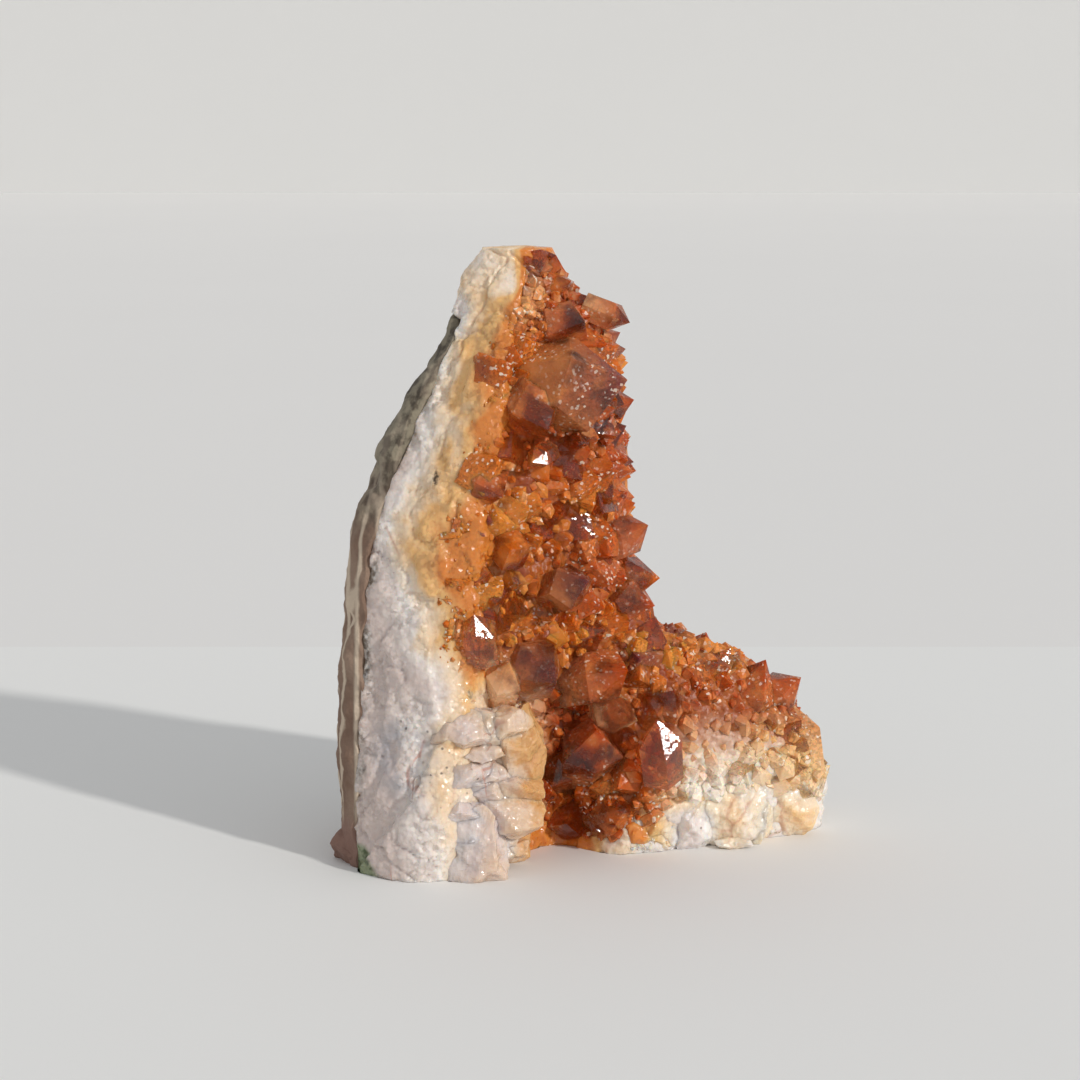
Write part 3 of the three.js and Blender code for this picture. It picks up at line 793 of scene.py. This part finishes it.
def draw_tints(tips, seed):
    """A tint for each tip. Neighbours are alike: slow noise picks rust, amber or honey, and here and there
    violet, and chance jogs it."""
    zone = 0.5 + 0.75 * noise(tips, 13, seed) + 0.4 * (chance(len(tips), seed) - 0.5)
    warm = mix_tints(TINTS["rust"], TINTS["amber"], smooth(0.1, 0.7, zone))
    warm = warm + (np.array(TINTS["honey"]) - warm) * smooth(0.65, 0.95, zone)[:, None]
    cool = smooth(0.5, 0.75, noise(tips, 9, seed + 5) + 0.3 * (chance(len(tips), seed + 1) - 0.5))
    return warm + (np.array(TINTS["violet"]) - warm) * cool[:, None]


# %% [markdown]
# ## Faces that flash
# Three faces in the photograph flash white, because they happen to mirror the lamp. Chance would rarely do
# that at the right place. The lamp's direction is known from the shadow, so those points are turned until
# one face lies half-way between the lamp and the camera.

# %% The lamp's direction
LAMP_ELEVATION, LAMP_ROUND = 27.0, 40.0  # degrees above level, and in front of the right-hand side
LAMP = np.array([
    math.cos(math.radians(LAMP_ELEVATION)) * math.cos(math.radians(LAMP_ROUND)),
    -math.cos(math.radians(LAMP_ELEVATION)) * math.sin(math.radians(LAMP_ROUND)),
    math.sin(math.radians(LAMP_ELEVATION)),
])


# %% Build the points
def turned_to_lamp(corners):
    """One point's corners turned about its tip until its best-placed pyramid face mirrors the lamp to the
    camera. Each arm turns about the axis square to both the face's normal and the halfway direction: its
    part along the axis stays, and the rest is swung by the sine and cosine of the angle."""
    halfway = unit(LAMP + unit(CAMERA_PLACE - corners[0]))
    normals = unit(np.cross(corners[PRISM[:, 1]] - corners[0], corners[PRISM[:, 2]] - corners[0]))
    normal = normals[np.argmax(normals @ halfway)]
    axis = np.cross(normal, halfway)
    sine, cosine = np.linalg.norm(axis), normal @ halfway
    axis = axis / max(sine, 1e-9)
    arms = corners - corners[0]
    turned = arms * cosine + np.cross(axis, arms) * sine + np.outer(arms @ axis, axis) * (1 - cosine)
    return corners[0] + turned


def crystal_piece(name, chosen, tips, axes, radii, reaches, tints, seed, glass=None, glints=()):
    """One mesh of the chosen quartz points, with their tints and how glassy each is, all kept clear of the
    surface they stand over. Those that glint are turned to the lamp."""
    corners = quartz_points(tips, axes, radii, reaches, seed)
    glass = np.zeros(len(tips)) if glass is None else glass.copy()
    for item in glints:
        corners[item] = turned_to_lamp(corners[item])
        glass[item] = 1.0
    corners = corners[chosen].reshape(-1, 3)
    corners[:, 2] = np.maximum(corners[:, 2], 0.7)
    colours = point_tints(tips[chosen], tints[chosen], corners)
    attributes = {"tint": colours, "glass": np.repeat(glass[chosen], 13)}
    return make_piece(name, corners, point_faces(int(chosen.sum())), attributes)


mid_tips, mid_axes, mid_radii = scattered_points(470, (2.4, 5.6), 0.3, 0.55, 0.8, 110, 0.5)
main_tips = np.vstack([large_tips, mid_tips])
main_axes = np.vstack([large_axes, mid_axes])
main_radii = np.concatenate([large_radii, mid_radii])
main_tints = np.vstack([large_tints, draw_tints(mid_tips, 120)])
main_reaches = main_radii * 2.4 + 2
is_pale = paleness(main_tips) > 0.35
is_pale[CLEAREST] = True
GLASSY = {"rust": 0.4, "amber": 0.6, "violet": 0.5, "pale": 0.5, "honey": 0.5}
main_glass = np.concatenate([
    [GLASSY[p[3]] for p in LARGE_POINTS], smooth(0.5, 0.95, chance(len(mid_tips), 133)),
])
main_glass[MILKY] = 0.25
shared = (main_tips, main_axes, main_radii, main_reaches, main_tints, 130, main_glass, GLINTS)
main = crystal_piece("citrine_points", ~is_pale, *shared)
pale = crystal_piece("pale_points", is_pale, *shared)

druse_tips, druse_axes, druse_radii = scattered_points(1500, (0.5, 1.4), -0.5, 1.2, 1.5, 140, 0.21)
druse_tints = draw_tints(druse_tips, 120)
druse_shape = (druse_tips, druse_axes, druse_radii, druse_radii * 2.6)
druse = crystal_piece("citrine_druse", druse_radii > 0, *druse_shape, druse_tints, 160)


# %% [markdown]
# ## Where the crust thins out
# The crust doesn't end in a line. Towards the broken face and under the foot it breaks up into single small
# points that stand on bare quartz, amber on the face and white on the foot. They are spread by chance over
# a band on either side of the crust's border.


# %% Small points past the borders of the crust
def border_points(count, shares, climbs_above_foot, radii_range, seed):
    """Points past the crust's border: shares of its width, and climbs from its foot, both as ranges."""
    share = shares[0] + (shares[1] - shares[0]) * chance(count, seed)
    along = chance(count, seed + 1)
    foot = crust_foot(share)
    low, high = climbs_above_foot
    climb = np.maximum(foot + low + (high - low) * along, 0.068)
    start = crust_start(climb)
    round_ = start + (CRUST_FAR_EDGE - start) * share
    radii = radii_range[0] + (radii_range[1] - radii_range[0]) * chance(count, seed + 2) ** 2
    leaning = np.stack([chance(count, seed + k) - 0.5 for k in (3, 4, 5)], axis=1)
    axes = unit(wall_normals(round_, climb) + 1.1 * leaning)
    lift = 0.15 * radii + 0.1
    return raised(round_, climb, lift), axes, radii


face_tips, face_axes, face_radii = border_points(330, (-0.1, 0.05), (0.0, 0.8), (0.7, 3.0), 170)
face_tints = mix_tints(TINTS["honey"], TINTS["amber"], chance(len(face_tips), 175))
face_shape = (face_tips, face_axes, face_radii, face_radii * 2 + 1)
face_points = crystal_piece("face_border_points", face_radii > 0, *face_shape, face_tints, 180)
foot_tips, foot_axes, foot_radii = border_points(340, (0.42, 1.06), (-0.12, 0.03), (0.8, 2.8), 190)
gold = smooth(36, 44, foot_tips[:, 0]) * chance(len(foot_tips), 196)
foot_tints = mix_tints(TINTS["white"], TINTS["honey"], gold)
foot_shape = (foot_tips, foot_axes, foot_radii, foot_radii * 2 + 1)
foot_points = crystal_piece("foot_border_points", foot_radii > 0, *foot_shape, foot_tints, 200)

# %% [markdown]
# ## Shader maths
# A material here is a sum, a product or a blend of patterns. Written as nodes one by one, that is long and
# hard to read, so a small class wraps a socket and turns Python's operators into Math nodes.


# %% A socket that can be added and multiplied
class Signal:
    """An output socket of a shader tree, on which sums and products are Math nodes."""

    def __init__(self, shader, socket):
        self.shader = shader
        self.socket = socket

    def _math(self, operation, first, second):
        node = self.shader.node("ShaderNodeMath", {"operation": operation}, {0: first, 1: second})
        return node["Value"]

    def __add__(self, other):
        return self._math("ADD", self, other)

    __radd__ = __add__

    def __sub__(self, other):
        return self._math("SUBTRACT", self, other)

    def __rsub__(self, other):
        return self._math("SUBTRACT", other, self)

    def __mul__(self, other):
        return self._math("MULTIPLY", self, other)

    __rmul__ = __mul__

    def step(self, low, high, to_low=0.0, to_high=1.0):
        """The value carried smoothly from low..high to to_low..to_high, and held past either end."""
        inputs = {"Value": self, "From Min": low, "From Max": high, "To Min": to_low, "To Max": to_high}
        settings = {"interpolation_type": "SMOOTHSTEP"}
        return self.shader.node("ShaderNodeMapRange", settings, inputs)["Result"]


class Outputs:
    """The outputs of one node, by name, each as a Signal."""

    def __init__(self, shader, node):
        self.shader = shader
        self.node = node

    def __getitem__(self, name):
        return Signal(self.shader, self.node.outputs[name])


class Shader:
    """A material and the tree that is built up in it."""

    def __init__(self, name):
        self.material = bpy.data.materials.new(name)
        self.material.use_nodes = True
        self.tree = self.material.node_tree
        self.tree.nodes.clear()

    def node(self, kind, settings=None, inputs=None):
        """A node of that type: its settings first, then its sockets' values or links."""
        node = self.tree.nodes.new(kind)
        for key, value in (settings or {}).items():
            setattr(node, key, value)
        for key, value in (inputs or {}).items():
            if isinstance(value, Signal):
                self.tree.links.new(value.socket, node.inputs[key])
            else:
                node.inputs[key].default_value = value
        return Outputs(self, node)

    def place(self):
        """The place in the piece's own coordinates, in metres."""
        return self.node("ShaderNodeTexCoord")["Object"]

    def along(self, axis):
        """One of the place's three numbers: X, Y or Z."""
        return self.node("ShaderNodeSeparateXYZ", {}, {0: self.place()})[axis]

    def vector_maths(self, operation, first, second, output="Vector"):
        """Two vectors added, subtracted, multiplied or the like."""
        return self.node("ShaderNodeVectorMath", {"operation": operation}, {0: first, 1: second})[output]

    def value(self, name):
        """A number carried by the mesh."""
        return self.node("ShaderNodeAttribute", {"attribute_name": name})["Fac"]

    def colour(self, name):
        """A colour carried by the mesh."""
        return self.node("ShaderNodeAttribute", {"attribute_name": name})["Color"]

    def stretched(self, scale):
        """The place with each axis multiplied by a scale."""
        return self.node("ShaderNodeMapping", {}, {"Vector": self.place(), "Scale": scale})["Vector"]

    def clouds(self, per_metre, detail=4.0, vector=None, distortion=0.0):
        """Noise from 0 to 1, with that many features to the metre."""
        inputs = {"Vector": vector or self.place(), "Scale": per_metre, "Detail": detail}
        inputs["Distortion"] = distortion
        return self.node("ShaderNodeTexNoise", {}, inputs)["Fac"]

    def cells(self, per_metre, feature="F1", output="Distance", vector=None):
        """Cells round scattered points, with that many to the metre."""
        inputs = {"Vector": vector or self.place(), "Scale": per_metre}
        return self.node("ShaderNodeTexVoronoi", {"feature": feature}, inputs)[output]

    def distance_to(self, point, weights):
        """How far a place is from a point, in metres, with each axis weighted."""
        weighted = self.vector_maths("MULTIPLY", self.vector_maths("SUBTRACT", self.place(), point), weights)
        return self.node("ShaderNodeVectorMath", {"operation": "LENGTH"}, {0: weighted})["Value"]

    def facets(self, per_metre):
        """A height made of tilted flats: in each cell, the offset from its centre times a random slope."""
        vector = self.place()
        near = self.node("ShaderNodeTexVoronoi", {"feature": "F1"}, {"Vector": vector, "Scale": per_metre})
        offset = self.vector_maths("SUBTRACT", vector, near["Position"])
        slope = self.vector_maths("SUBTRACT", near["Color"], (0.5, 0.5, 0.5))
        return self.vector_maths("DOT_PRODUCT", offset, slope, "Value") * per_metre

    def sugar_with_painted_glints(self, tint, per_metre):
        """A tint that differs from grain to grain, with a few grains painted nearly white: painted glints."""
        grains = self.cells(per_metre, "F1", "Color")
        parts = self.node("ShaderNodeSeparateColor", {}, {0: grains})
        light = self.blend(parts["Red"], (0.62, 0.59, 0.55), (1.38, 1.36, 1.3))
        uneven = self.blend(1.0, tint, light, "MULTIPLY")
        # Painted highlights: a few grains are blended nearly white as glints.
        return self.blend(parts["Green"].step(0.91, 0.97) * 0.75, uneven, (1.0, 0.88, 0.74))

    def blend(self, share, first, second, way="MIX"):
        """Two colours mixed by a share."""
        node = self.node("ShaderNodeMix", {"data_type": "RGBA", "blend_type": way})
        for index, value in ((0, share), (6, first), (7, second)):
            if isinstance(value, Signal):
                self.tree.links.new(value.socket, node.node.inputs[index])
            elif index == 0:
                node.node.inputs[index].default_value = value
            else:
                node.node.inputs[index].default_value = (*value, 1)
        return Signal(self, node.node.outputs[2])

    def bump(self, height, strength, distance):
        """A Normal worked out from a height."""
        inputs = {"Height": height, "Strength": strength, "Distance": distance}
        return self.node("ShaderNodeBump", {}, inputs)["Normal"]

    def surface(self, **inputs):
        """A Principled shader with those sockets."""
        named = {key.replace("_", " "): value for key, value in inputs.items()}
        return self.node("ShaderNodeBsdfPrincipled", {}, named)["BSDF"]

    def finish(self, surface, volume=None):
        """Links the surface, and a volume if there is one, to the output."""
        inputs = {"Surface": surface}
        if volume:
            inputs["Volume"] = volume
        self.node("ShaderNodeOutputMaterial", {}, inputs)
        return self.material


# %% [markdown]
# ## Milky quartz
# The wall is white quartz that light enters and leaves again, so it has subsurface scattering. On the broken
# face it runs from grey-lavender next to the rind, through white, to yellow and orange next to the crystals.
# A number carried by the mesh says how far across the face a place is, and noise makes the borders wander.


# %% The quartz finish
def quartz_material(name, softness, flats_per_metre, tone):
    """White to yellow quartz with rust veins, dark specks and a sugary grain. How deep light goes, the
    size of the small flats and a tone that multiplies the colour are given."""
    shader = Shader(name)
    height = shader.along("Z")
    wander = (shader.clouds(60, 5, distortion=0.8) - 0.5) * 1.1
    across = shader.value("across") + wander + height.step(0.03, 0.065, -0.3, 0.12)
    columns = shader.clouds(60, 5, shader.stretched((2.2, 2.2, 0.7)), 0.4)
    patches = shader.clouds(170, 4)
    lavender, white, cream = (0.69, 0.58, 0.53), (0.94, 0.87, 0.81), (0.89, 0.70, 0.50)
    yellow, orange = (0.84, 0.50, 0.20), (0.70, 0.24, 0.045)
    colour = shader.blend(across.step(0.0, 0.3), lavender, white)
    colour = shader.blend(columns.step(0.42, 0.62), colour, shader.blend(0.5, colour, lavender))
    colour = shader.blend((across + patches * 0.4).step(0.45, 0.7), colour, cream)
    colour = shader.blend((across + patches * 0.5).step(0.72, 0.95), colour, yellow)
    colour = shader.blend((across + columns * 0.6).step(1.0, 1.25), colour, orange)
    veins = shader.cells(95, "DISTANCE_TO_EDGE", "Distance", shader.stretched((1, 1, 0.6)))
    vein_mask = (1 - veins.step(0.0, 0.035)) * shader.clouds(45, 2).step(0.62, 0.68)
    colour = shader.blend(vein_mask * 0.4, colour, (0.50, 0.18, 0.10))
    ridge = shader.clouds(55, 3, shader.stretched((1.3, 1, 0.6)), 0.6) - 0.5
    streaks = (1 - (ridge * ridge).step(0.0, 0.00016)) * shader.clouds(75, 2).step(0.52, 0.6)
    sideways = shader.along("X") + (patches - 0.5) * 0.006
    low_front = (1 - height.step(0.028, 0.036)) * (1 - sideways.step(-0.012, -0.006))
    colour = shader.blend(streaks * low_front * 0.5, colour, (0.60, 0.20, 0.12))
    specks = (1 - shader.cells(420).step(0.05, 0.16)) * shader.clouds(60, 2).step(0.62, 0.7)
    colour = shader.blend(specks * 0.8, colour, (0.10, 0.07, 0.05))
    beside_rind = 1 - (shader.value("across") + (patches - 0.5) * 0.3).step(0.03, 0.14)
    beside_rind = beside_rind * height.step(0.012, 0.02) * (1 - height.step(0.05, 0.075))
    speckled = shader.blend(shader.clouds(800, 4).step(0.4, 0.6), (0.16, 0.13, 0.10), (0.62, 0.58, 0.54))
    colour = shader.blend(beside_rind * shader.clouds(120, 4).step(0.42, 0.56), colour, speckled)
    bluish = 1 - shader.distance_to((-0.033, -0.026, 0.022), (1, 0.4, 0.8)).step(0.003, 0.008)
    colour = shader.blend(bluish * patches.step(0.4, 0.6) * 0.6, colour, (0.40, 0.41, 0.45))
    moss = 1 - (height + (patches - 0.5) * 0.008).step(0.004, 0.008)
    moss = moss * (1 - (sideways + height * 0.8).step(-0.0385, -0.0365))
    green = shader.blend(shader.clouds(500, 4).step(0.4, 0.6), (0.07, 0.10, 0.03), (0.30, 0.34, 0.20))
    colour = shader.blend(moss, colour, green)
    mark = shader.distance_to((-0.0272, -0.0255, 0.0722), (1.6, 0.2, 0.7)) + shader.clouds(1500, 3) * 0.002
    colour = shader.blend(1 - mark.step(0.0014, 0.0022), colour, (0.09, 0.05, 0.02))
    grain = shader.cells(900)
    flats = shader.facets(flats_per_metre) * shader.clouds(130, 3).step(0.4, 0.6, 0.5, 1.8)
    relief_map = shader.clouds(450, 5) * 0.8 + flats + grain * 0.3 + columns * 0.6
    surface = shader.surface(
        Base_Color=shader.blend(1.0, colour, tone, "MULTIPLY"),
        Roughness=shader.clouds(260, 3).step(0.35, 0.65, 0.1, 0.38),
        IOR=1.54,
        Subsurface_Weight=0.5,
        Subsurface_Radius=(1.0, 0.75, 0.55),
        Subsurface_Scale=softness,
        Normal=shader.bump(relief_map, 0.9, 0.0005),
    )
    return shader.finish(surface)


# %% [markdown]
# ## Basalt
# The rind is matt brown rock. Cream calcite veins run along it, and green celadonite sits in patches at its
# upper part and at its foot.


# %% The basalt finish
def basalt_material():
    """Matt brown rock with cream veins, darker and greener high up and at the foot."""
    shader = Shader("basalt")
    mottled = shader.clouds(120, 6)
    height = shader.along("Z")
    colour = shader.blend(mottled.step(0.3, 0.7), (0.20, 0.115, 0.075), (0.32, 0.22, 0.16))
    depth = shader.along("Y") + (shader.clouds(40, 3) - 0.5) * 0.012
    behind = depth.step(-0.004, 0.008)
    colour = shader.blend(behind * shader.clouds(70, 5).step(0.35, 0.6) * 0.8, colour, (0.12, 0.10, 0.085))
    high = (height + (shader.clouds(60, 3) - 0.5) * 0.03).step(0.055, 0.07)
    green = shader.blend(shader.clouds(330, 6).step(0.42, 0.58), (0.055, 0.05, 0.035), (0.26, 0.235, 0.17))
    colour = shader.blend(high * (1 - behind * 0.45) * 0.85, colour, green)
    sideways = shader.along("X") + (shader.clouds(300, 3) - 0.5) * 0.004
    foot = 1 - (height + (shader.clouds(110, 3) - 0.5) * 0.008).step(0.008, 0.011)
    foot = foot * sideways.step(-0.0405, -0.0385)
    colour = shader.blend((1 - height.step(0.006, 0.011)) * 0.7, colour, (0.27, 0.15, 0.12))
    foot = foot * (1 - behind * shader.clouds(45, 3).step(0.3, 0.5))
    moss = shader.blend(mottled.step(0.4, 0.6), (0.08, 0.12, 0.04), (0.26, 0.33, 0.18))
    colour = shader.blend(foot * 0.85, colour, moss)
    along = shader.stretched((1, 1, 0.07))
    veins = shader.cells(210, "DISTANCE_TO_EDGE", "Distance", along) + (shader.clouds(300, 3) - 0.5) * 0.12
    vein_mask = (1 - veins.step(0.03, 0.13)) * (1 - high * 0.8) * height.step(0.006, 0.011)
    vein_mask = vein_mask * (1 - behind * (1 - shader.clouds(30, 3).step(0.5, 0.62) * 0.6))
    colour = shader.blend(vein_mask, colour, (0.62, 0.50, 0.38))
    bubbles = (1 - shader.cells(260).step(0.14, 0.24)) * shader.clouds(50, 3).step(0.5, 0.6) * behind
    colour = shader.blend(bubbles * 0.8, colour, (0.46, 0.42, 0.35))
    surface = shader.surface(
        Base_Color=colour,
        Roughness=mottled.step(0.3, 0.7, 0.75, 0.95),
        Normal=shader.bump(shader.clouds(500, 8) + vein_mask * 0.3, 0.9, 0.0009),
    )
    return shader.finish(surface)


# %% [markdown]
# ## Citrine
# Citrine is clear quartz coloured by iron. The light that comes through a point has lost its blue, and more
# so the longer its way, which is what absorption does in a volume. But many faces are frosted or covered in
# sugar, and milky inside. So the finish mixes a clear shader and a frosted one, and noise says where.


# %% The citrine finish
def citrine_material(name, frosted_share, grain_size, warmth, density, softness):
    """Clear quartz mixed with frosted quartz of the same tint, over constant absorption; clouds of a warm
    colour lie in the tint, its sugar carries painted glints, and the clear part has a faint painted glow in
    its tint."""
    shader = Shader(name)
    tint = shader.colour("tint")
    cloud = shader.clouds(230, 4)
    tint = shader.blend(cloud.step(0.45, 0.75) * 0.4, tint, warmth)
    glass = shader.value("glass")
    sugar = shader.clouds(110, 4).step(0.36, 0.56, 0.15, 1.0) * (1 - glass * 0.8)
    # The sugar's tint carries painted highlights: a few grains nearly white as glints.
    tint = shader.blend(sugar, tint, shader.sugar_with_painted_glints(tint, grain_size))
    frost = (shader.clouds(130, 5) + frosted_share - glass * 0.3).step(0.36, 0.56)
    facets = shader.facets(grain_size)
    clear = shader.surface(
        Base_Color=shader.blend(0.35, tint, (1, 0.76, 0.36)),
        Specular_IOR_Level=0.25,
        Roughness=shader.clouds(320, 3).step(0.35, 0.75, 0.03, 0.3),
        IOR=1.544,
        Transmission_Weight=1.0,
        # Painted glow: the clear part emits a faint light in its tint, though it is no lamp.
        Emission_Color=tint,
        Emission_Strength=0.05,
        Normal=shader.bump(shader.clouds(420, 3) + shader.clouds(1600, 2) * 0.15, 0.5, 0.0005),
    )
    frosted = shader.surface(
        Base_Color=tint,
        Roughness=shader.clouds(600, 3).step(0.35, 0.65, 0.16, 0.42) + sugar * 0.1,
        IOR=1.544,
        Specular_IOR_Level=0.2,
        Subsurface_Weight=0.6,
        Subsurface_Radius=(1.0, 0.55, 0.3),
        Subsurface_Scale=softness,
        Normal=shader.bump(sugar * (facets + shader.clouds(700, 4) * 0.8), 1.0, 0.0004),
    )
    surface = shader.node("ShaderNodeMixShader", {}, {0: frost, 1: clear, 2: frosted})["Shader"]
    absorbing = {"Color": (0.985, 0.58, 0.12, 1), "Density": density}
    inside = shader.node("ShaderNodeVolumeAbsorption", {}, absorbing)
    return shader.finish(surface, inside["Volume"])


def bed_material():
    """The sugary mass between the points: frosted, from cream to orange."""
    shader = Shader("citrine_sugar")
    cloud = shader.clouds(110, 5, distortion=0.5)
    colour = shader.blend(cloud.step(0.35, 0.65), (0.30, 0.05, 0.003), (0.50, 0.145, 0.02))
    edge = (shader.value("across") + (shader.clouds(140, 3) - 0.5) * 0.2).step(0.0, 0.14)
    colour = shader.blend(edge, (0.78, 0.40, 0.12), colour)
    pale = (shader.value("pale") + (shader.clouds(140, 3) - 0.5) * 0.5).step(0.1, 0.7)
    colour = shader.blend(pale, colour, shader.blend(pale, (0.80, 0.42, 0.20), (0.90, 0.76, 0.62)))
    surface = shader.surface(
        Base_Color=colour,
        Roughness=0.4,
        IOR=1.54,
        Subsurface_Weight=0.7,
        Subsurface_Radius=(1.0, 0.55, 0.3),
        Subsurface_Scale=0.0007,
        Normal=shader.bump(shader.facets(1300) + shader.clouds(600, 4), 0.8, 0.0006),
    )
    return shader.finish(surface)


# %% [markdown]
# ## Dress the pieces
# Each piece gets its finish here. Rock and rind are shaded smoothly, since their grain is in the mesh. The
# blocks and the points keep flat faces, because broken quartz and crystals are made of flats.


# %% Put the finishes on
def dress(piece, material, rounded=True):
    """Gives a piece its finish and its slot, and lets it ride with the specimen."""
    piece.data.materials.clear()
    piece.data.materials.append(material)
    piece.data.polygons.foreach_set("use_smooth", np.full(len(piece.data.polygons), rounded))
    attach(piece, "root")


dress(rock, quartz_material("milky_quartz", 0.0013, 1300, (1, 0.99, 0.99)))
# Painted shade: the chunk's quartz is the wall's with a darker tone, for the light shade the chunk stands in.
dress(chunk, quartz_material("chunk_quartz", 0.0022, 600, (0.83, 0.775, 0.785)), False)
dress(foot_base, quartz_material("foot_quartz", 0.0022, 700, (1.03, 1.05, 1.08)), False)
basalt = basalt_material()
dress(rind, basalt)
dress(knob, basalt)
dress(bed, bed_material())
deep_finish = citrine_material("citrine_points", 0.1, 2200, (0.74, 0.29, 0.08), 100.0, 0.0012)
dress(main, deep_finish, False)
pale_finish = citrine_material("pale_points", 0.12, 2200, (0.88, 0.60, 0.38), 12.0, 0.0006)
dress(pale, pale_finish, False)
border_finish = citrine_material("border_points", 0.16, 2200, (0.84, 0.50, 0.22), 30.0, 0.0005)
dress(face_points, border_finish, False)
dress(foot_points, pale_finish, False)
druse_finish = citrine_material("citrine_druse", 0.4, 1500, (0.74, 0.29, 0.08), 30.0, 0.0003)
dress(druse, druse_finish, False)
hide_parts("milky_quartz_wall")
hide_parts("basalt_rind")
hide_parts("citrine_crust")

# %% [markdown]
# ## Floor, backdrop and light
# The specimen stands on a pale table, and a pale floor and a far wall lie behind it. The wall is far enough
# off that a camera behind the specimen still stands before it. A low sun-like lamp from the right and in
# front gives the long shadow and the glints, and an even pale world fills the shade.


# %% Stage
FLOOR_EDGE = 182.0  # how far behind the specimen the table ends
FAR = 4000.0  # how far off the wall stands, and how far the floor reaches to each side


def floor_strip(near, far):
    """The corners of a level strip between two distances behind the specimen."""
    return [(-FAR, near, 0), (FAR, near, 0), (FAR, far, 0), (-FAR, far, 0)]


def stage_sheet(name, corners, tone):
    """A flat sheet of one pale, slightly mottled tone."""
    piece = make_piece(name, corners, [[0, 1, 2, 3]])
    shader = Shader(name)
    soft = shader.clouds(3, 2).step(0.3, 0.7, 0.0, 0.06)
    colour = shader.blend(soft, tone, tuple(v * 0.9 for v in tone))
    surface = shader.surface(Base_Color=colour, Roughness=0.8, Specular_IOR_Level=0.3)
    piece.data.materials.append(shader.finish(surface))


stage_sheet("table", floor_strip(-FAR, FLOOR_EDGE), (0.84, 0.845, 0.835))
stage_sheet("ground", floor_strip(FLOOR_EDGE, FAR), (0.815, 0.81, 0.80))
upright = [(-FAR, FAR, 0), (FAR, FAR, 0), (FAR, FAR, FAR), (-FAR, FAR, FAR)]
stage_sheet("backdrop", upright, (0.72, 0.72, 0.71))

# %% Lamp and world
sun_data = bpy.data.lights.new("key", "SUN")
sun_data.energy = 1.85
sun_data.angle = math.radians(3.0)
sun_data.color = (1.0, 0.97, 0.93)
sun = bpy.data.objects.new("key", sun_data)
sun.rotation_euler = (math.radians(90 - LAMP_ELEVATION), 0, math.radians(90 - LAMP_ROUND))
bpy.context.scene.collection.objects.link(sun)

world = bpy.data.worlds.new("studio")
world.use_nodes = True
background = world.node_tree.nodes["Background"]
background.inputs["Color"].default_value = (0.97, 0.98, 1.0, 1)
background.inputs["Strength"].default_value = 0.53
bpy.context.scene.world = world
bpy.context.scene.view_settings.view_transform = "Standard"
print("lamp direction", np.round(LAMP, 2))
